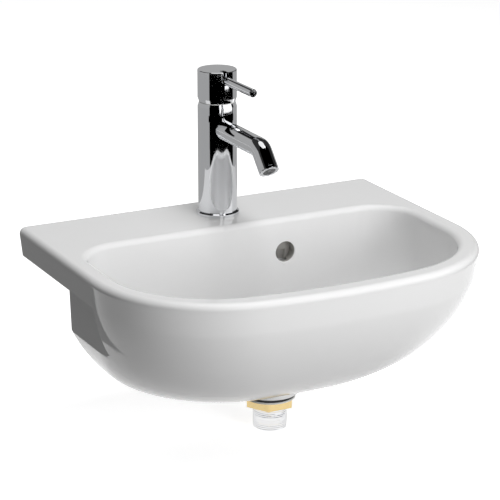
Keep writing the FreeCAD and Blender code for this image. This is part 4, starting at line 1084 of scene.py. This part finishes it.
# ---- Tap and waste ----
@dataclass
class Tap:
    """The mixer tap: its chrome outside, its cartridge and its fixing."""

    stud_thread: Thread = Thread("stud_thread", 3.9, 1.25, -10.8, 4.1, 69.5)
    mesh: OutletMesh = OutletMesh()
    parts: Dressing = (
        (Finish.CHROME, ("base_ring", "tap_body", "aerator_housing", "handle_cap", "pin_lever")),
        (Finish.RUBBER, ("base_seal", "aerator_washer", "cartridge_seals", "fixing_gasket")),
        (Finish.PLASTIC, ("cartridge_base", "cartridge_housing", "turning_sleeve")),
        (Finish.PLASTIC, ("disc_carrier", "glide_ring")),
        (Finish.DARK_PLASTIC, ("aerator_insert",)),
        (Finish.STEEL, ("stem", "stem_pin", "hub_screw", "fixing_stud", "fixing_plate", "fixing_nut")),
        (Finish.BRASS, ("cartridge_nut", "lever_hub")),
        (Finish.DISC, ("fixed_disc", "moving_disc")),
    )

    def make(self, paints: Paintbox) -> None:
        """Dresses the tap's nodes and adds the stud's thread and the mesh in the outlet."""
        paints.dress(self.parts)
        self.stud_thread.make(paints.get(Finish.STEEL), "steel")
        self.mesh.make(paints.get(Finish.STEEL))


@dataclass
class Waste:
    """The push-plug waste under the bowl."""

    tail_thread: Thread = Thread("tail_thread", 20.85, 2.31, -202, -176.5, 205, 0.4)
    parts: Dressing = (
        (Finish.CHROME, ("waste_body", "plug_cap")),
        (Finish.RUBBER, ("waste_seal", "lower_seal", "plug_seal")),
        (Finish.PLASTIC, ("slip_washer", "click_housing")),
        (Finish.BRASS, ("back_nut", "click_spindle")),
    )

    def make(self, paints: Paintbox) -> None:
        """Dresses the waste's nodes and adds the tail's thread."""
        paints.dress(self.parts)
        self.tail_thread.make(paints.get(Finish.CHROME), "chrome")


# ---- Studio ----
CARD_STEPS = 48


@dataclass(frozen=True)
class Card:
    """A bent card that only reflections show, as a photographer sets them round a shiny object.

    Attributes:
        name: its name.
        glow: its brightness, 0 for black.
        radius: distance from the tap's axis in metres.
        first: bearing of one end in degrees, 0 towards the front and growing to the right.
        last: bearing of the other end.
        low: height of its lower edge in metres.
        high: height of its upper edge.
    """

    name: str
    glow: float
    radius: float
    first: float
    last: float
    low: float
    high: float

    def make(self, axis: tuple[float, float]) -> None:
        """Sets the card up round a vertical axis, given by its X and Y in metres."""
        sheet = NodeSheet(self.name)
        paint = sheet.show(sheet.out("ShaderNodeEmission", Color=WHITE, Strength=self.glow))
        paint.cycles.emission_sampling = "NONE"
        shape = bmesh.new()
        columns = []
        for step in range(CARD_STEPS + 1):
            bearing = math.radians(self.first + (self.last - self.first) * step / CARD_STEPS)
            x = axis[0] + self.radius * math.sin(bearing)
            y = axis[1] - self.radius * math.cos(bearing)
            columns.append([shape.verts.new((x, y, z)) for z in (self.low, self.high)])
        for left, right in zip(columns, columns[1:]):
            shape.faces.new((left[0], right[0], right[1], left[1]))
        made = object_from(self.name, shape)
        made.data.materials.append(paint)
        made.visible_camera = False
        made.visible_diffuse = False
        made.visible_transmission = False
        made.visible_shadow = False


@dataclass(frozen=True)
class Lamp:
    """A soft square lamp that points at the basin.

    Attributes:
        name: its name.
        bearing: direction in degrees, 0 in front and growing to the right.
        height: direction above the horizon in degrees.
        watts: its power.
        side: its width and height in metres.
        reach: its distance in metres.
    """

    name: str
    bearing: float
    height: float
    watts: float
    side: float = 1.2
    reach: float = 2.6

    def make(self, aim: Vector) -> None:
        """Hangs the lamp so that it points at a place in metres."""
        bearing, height = math.radians(self.bearing), math.radians(self.height)
        level = math.cos(height)
        outward = Vector((math.sin(bearing) * level, -math.cos(bearing) * level, math.sin(height)))
        data = bpy.data.lights.new(self.name, "AREA")
        data.shape = "SQUARE"
        data.size = self.side
        data.energy = self.watts
        made = bpy.data.objects.new(self.name, data)
        made.location = aim + outward * self.reach
        made.rotation_euler = outward.to_track_quat("Z", "Y").to_euler()
        made.visible_glossy = False
        bpy.context.scene.collection.objects.link(made)


@dataclass
class Studio:
    """Floor, world, lamps, reflection cards and camera.

    Attributes:
        floor_height: the floor, in metres.
        focal_pixels: the photograph's focal length in its own pixels.
        frame_pixels: width of the photograph.
        azimuth: the camera's bearing, degrees left of the front.
        elevation: how far it looks down, degrees.
        camera_place: where it stands, in metres.
        sensor: width of its sensor in millimetres, which the focal length goes by.
        sight: how far it sees, in metres.
        aim: what the lamps point at.
        card_axis: X and Y of the tap's axis, which the cards stand round.
        fill: brightness of the surroundings as they light the object.
        floor_reach: half of the floor's side.
        floor_seen: grey of the floor where it is seen directly.
        floor_glow: light added to it there.
        floor_unseen: grey of the floor as it lights the object.
        lamps: the soft lamps.
        cards: what the chrome reflects.
    """

    floor_height: float = -0.2045
    focal_pixels: float = 2137.4
    frame_pixels: float = 500
    azimuth: float = 27.04
    elevation: float = 17.77
    camera_place: Point = (-1.1516, -2.4069, 0.8236)
    sensor: float = 36
    sight: float = 60
    aim: Point = (0, -0.2, 0)
    card_axis: tuple[float, float] = (0, -0.06)
    fill: float = 0.02
    floor_reach: float = 14
    floor_seen: float = 0.8
    floor_glow: float = 0.78
    floor_unseen: float = 0.25
    lamps: tuple[Lamp, ...] = (
        Lamp("key", 14, 8, 43),
        Lamp("front_top", 0, 65, 23),
        Lamp("top", 80, 83, 25),
        Lamp("left_top", -90, 62, 4),
        Lamp("back", 180, 30, 13),
    )
    cards: tuple[Card, ...] = (
        Card("front_black", 0.0, 0.8, -72, 77, -0.2, 0.05),
        Card("side_grey", 0.38, 0.8, 77, 288, -0.2, 0.05),
        Card("back_grey", 0.38, 0.3, 108, 290, -0.2, 0.05),
        Card("neck_black", 0.0, 0.045, -64, 56, 0.155, 0.1635),
        Card("far_black", 0.0, 3.4, -74, 80, -0.2, 9.0),
        Card("right_grey", 0.4, 3.4, 80, 135, -0.2, 0.7),
        Card("far_grey", 0.4, 3.4, 135, 286, -0.2, 2.0),
        Card("upper_dark", 0.03, 3.5, 80, 286, -0.2, 9.0),
        Card("wide_window", 1.3, 0.7, 11, 70, 0.0036, 0.0163),
        Card("slim_window", 1.3, 0.7, -13, 2, 0.0036, 0.0163),
        Card("upper_window", 1.3, 0.7, 19, 46, 0.0401, 0.0469),
        Card("far_wide_window", 1.3, 2.8, 11, 70, 0.8, 1.6),
        Card("far_slim_window", 1.3, 2.8, -13, 2, 0.8, 1.6),
        Card("high_window", 1.3, 1.2, 30, 62, 2.35, 4.4),
    )

    def camera(self) -> None:
        """Sets the camera at the photograph's angle."""
        data = bpy.data.cameras.new("camera")
        data.sensor_width = self.sensor
        data.lens = self.focal_pixels / self.frame_pixels * self.sensor
        data.clip_end = self.sight
        made = bpy.data.objects.new("camera", data)
        made.location = self.camera_place
        made.rotation_euler = (math.radians(90 - self.elevation), 0, math.radians(-self.azimuth))
        bpy.context.scene.collection.objects.link(made)
        bpy.context.scene.camera = made

    def world(self) -> None:
        """A white surround for camera and metal, and a dimmer one for the light that it sheds."""
        world = bpy.data.worlds.new("surround")
        world.use_nodes = True
        world.node_tree.nodes.clear()
        kit = NodeKit(world.node_tree)
        dim = kit.out("ShaderNodeBackground", Color=WHITE, Strength=self.fill)
        bright = kit.out("ShaderNodeBackground", Color=WHITE, Strength=1.0)
        mix = kit.blend_shaders(kit.seen_directly(), dim, bright)
        kit.add("ShaderNodeOutputWorld", Surface=mix)
        bpy.context.scene.world = world

    def floor(self) -> None:
        """A pale floor that keeps the object's shadow and throws little light up at it."""
        sheet = NodeSheet("pale_floor")
        seen, unseen = [
            sheet.out("ShaderNodeBsdfDiffuse", Color=(grey, grey, grey, 1))
            for grey in (self.floor_seen, self.floor_unseen)
        ]
        glow = sheet.out("ShaderNodeEmission", Color=WHITE, Strength=self.floor_glow)
        both = sheet.add("ShaderNodeAddShader")
        sheet.join(seen, both.inputs[0])
        sheet.join(glow, both.inputs[1])
        paint = sheet.show(sheet.blend_shaders(sheet.seen_directly(), unseen, both.outputs[0]))
        shape = bmesh.new()
        bmesh.ops.create_grid(shape, x_segments=1, y_segments=1, size=self.floor_reach)
        bmesh.ops.translate(shape, verts=shape.verts, vec=(0, 0, self.floor_height))
        made = object_from("floor", shape)
        made.data.materials.append(paint)

    def make(self) -> None:
        """Sets up the whole studio."""
        self.camera()
        self.world()
        self.floor()
        for lamp in self.lamps:
            lamp.make(Vector(self.aim))
        for card in self.cards:
            card.make(self.card_axis)
        bpy.context.scene.view_settings.view_transform = "Standard"
        LOG.info("studio ready")


def main() -> None:
    """Builds every sub-assembly in order and the studio round them."""
    logging.basicConfig(level=logging.INFO, format="%(name)s: %(message)s")
    paints = Paintbox()
    Basin().make(paints)
    Tap().make(paints)
    Waste().make(paints)
    Studio().make()


if __name__ == "__main__":
    main()
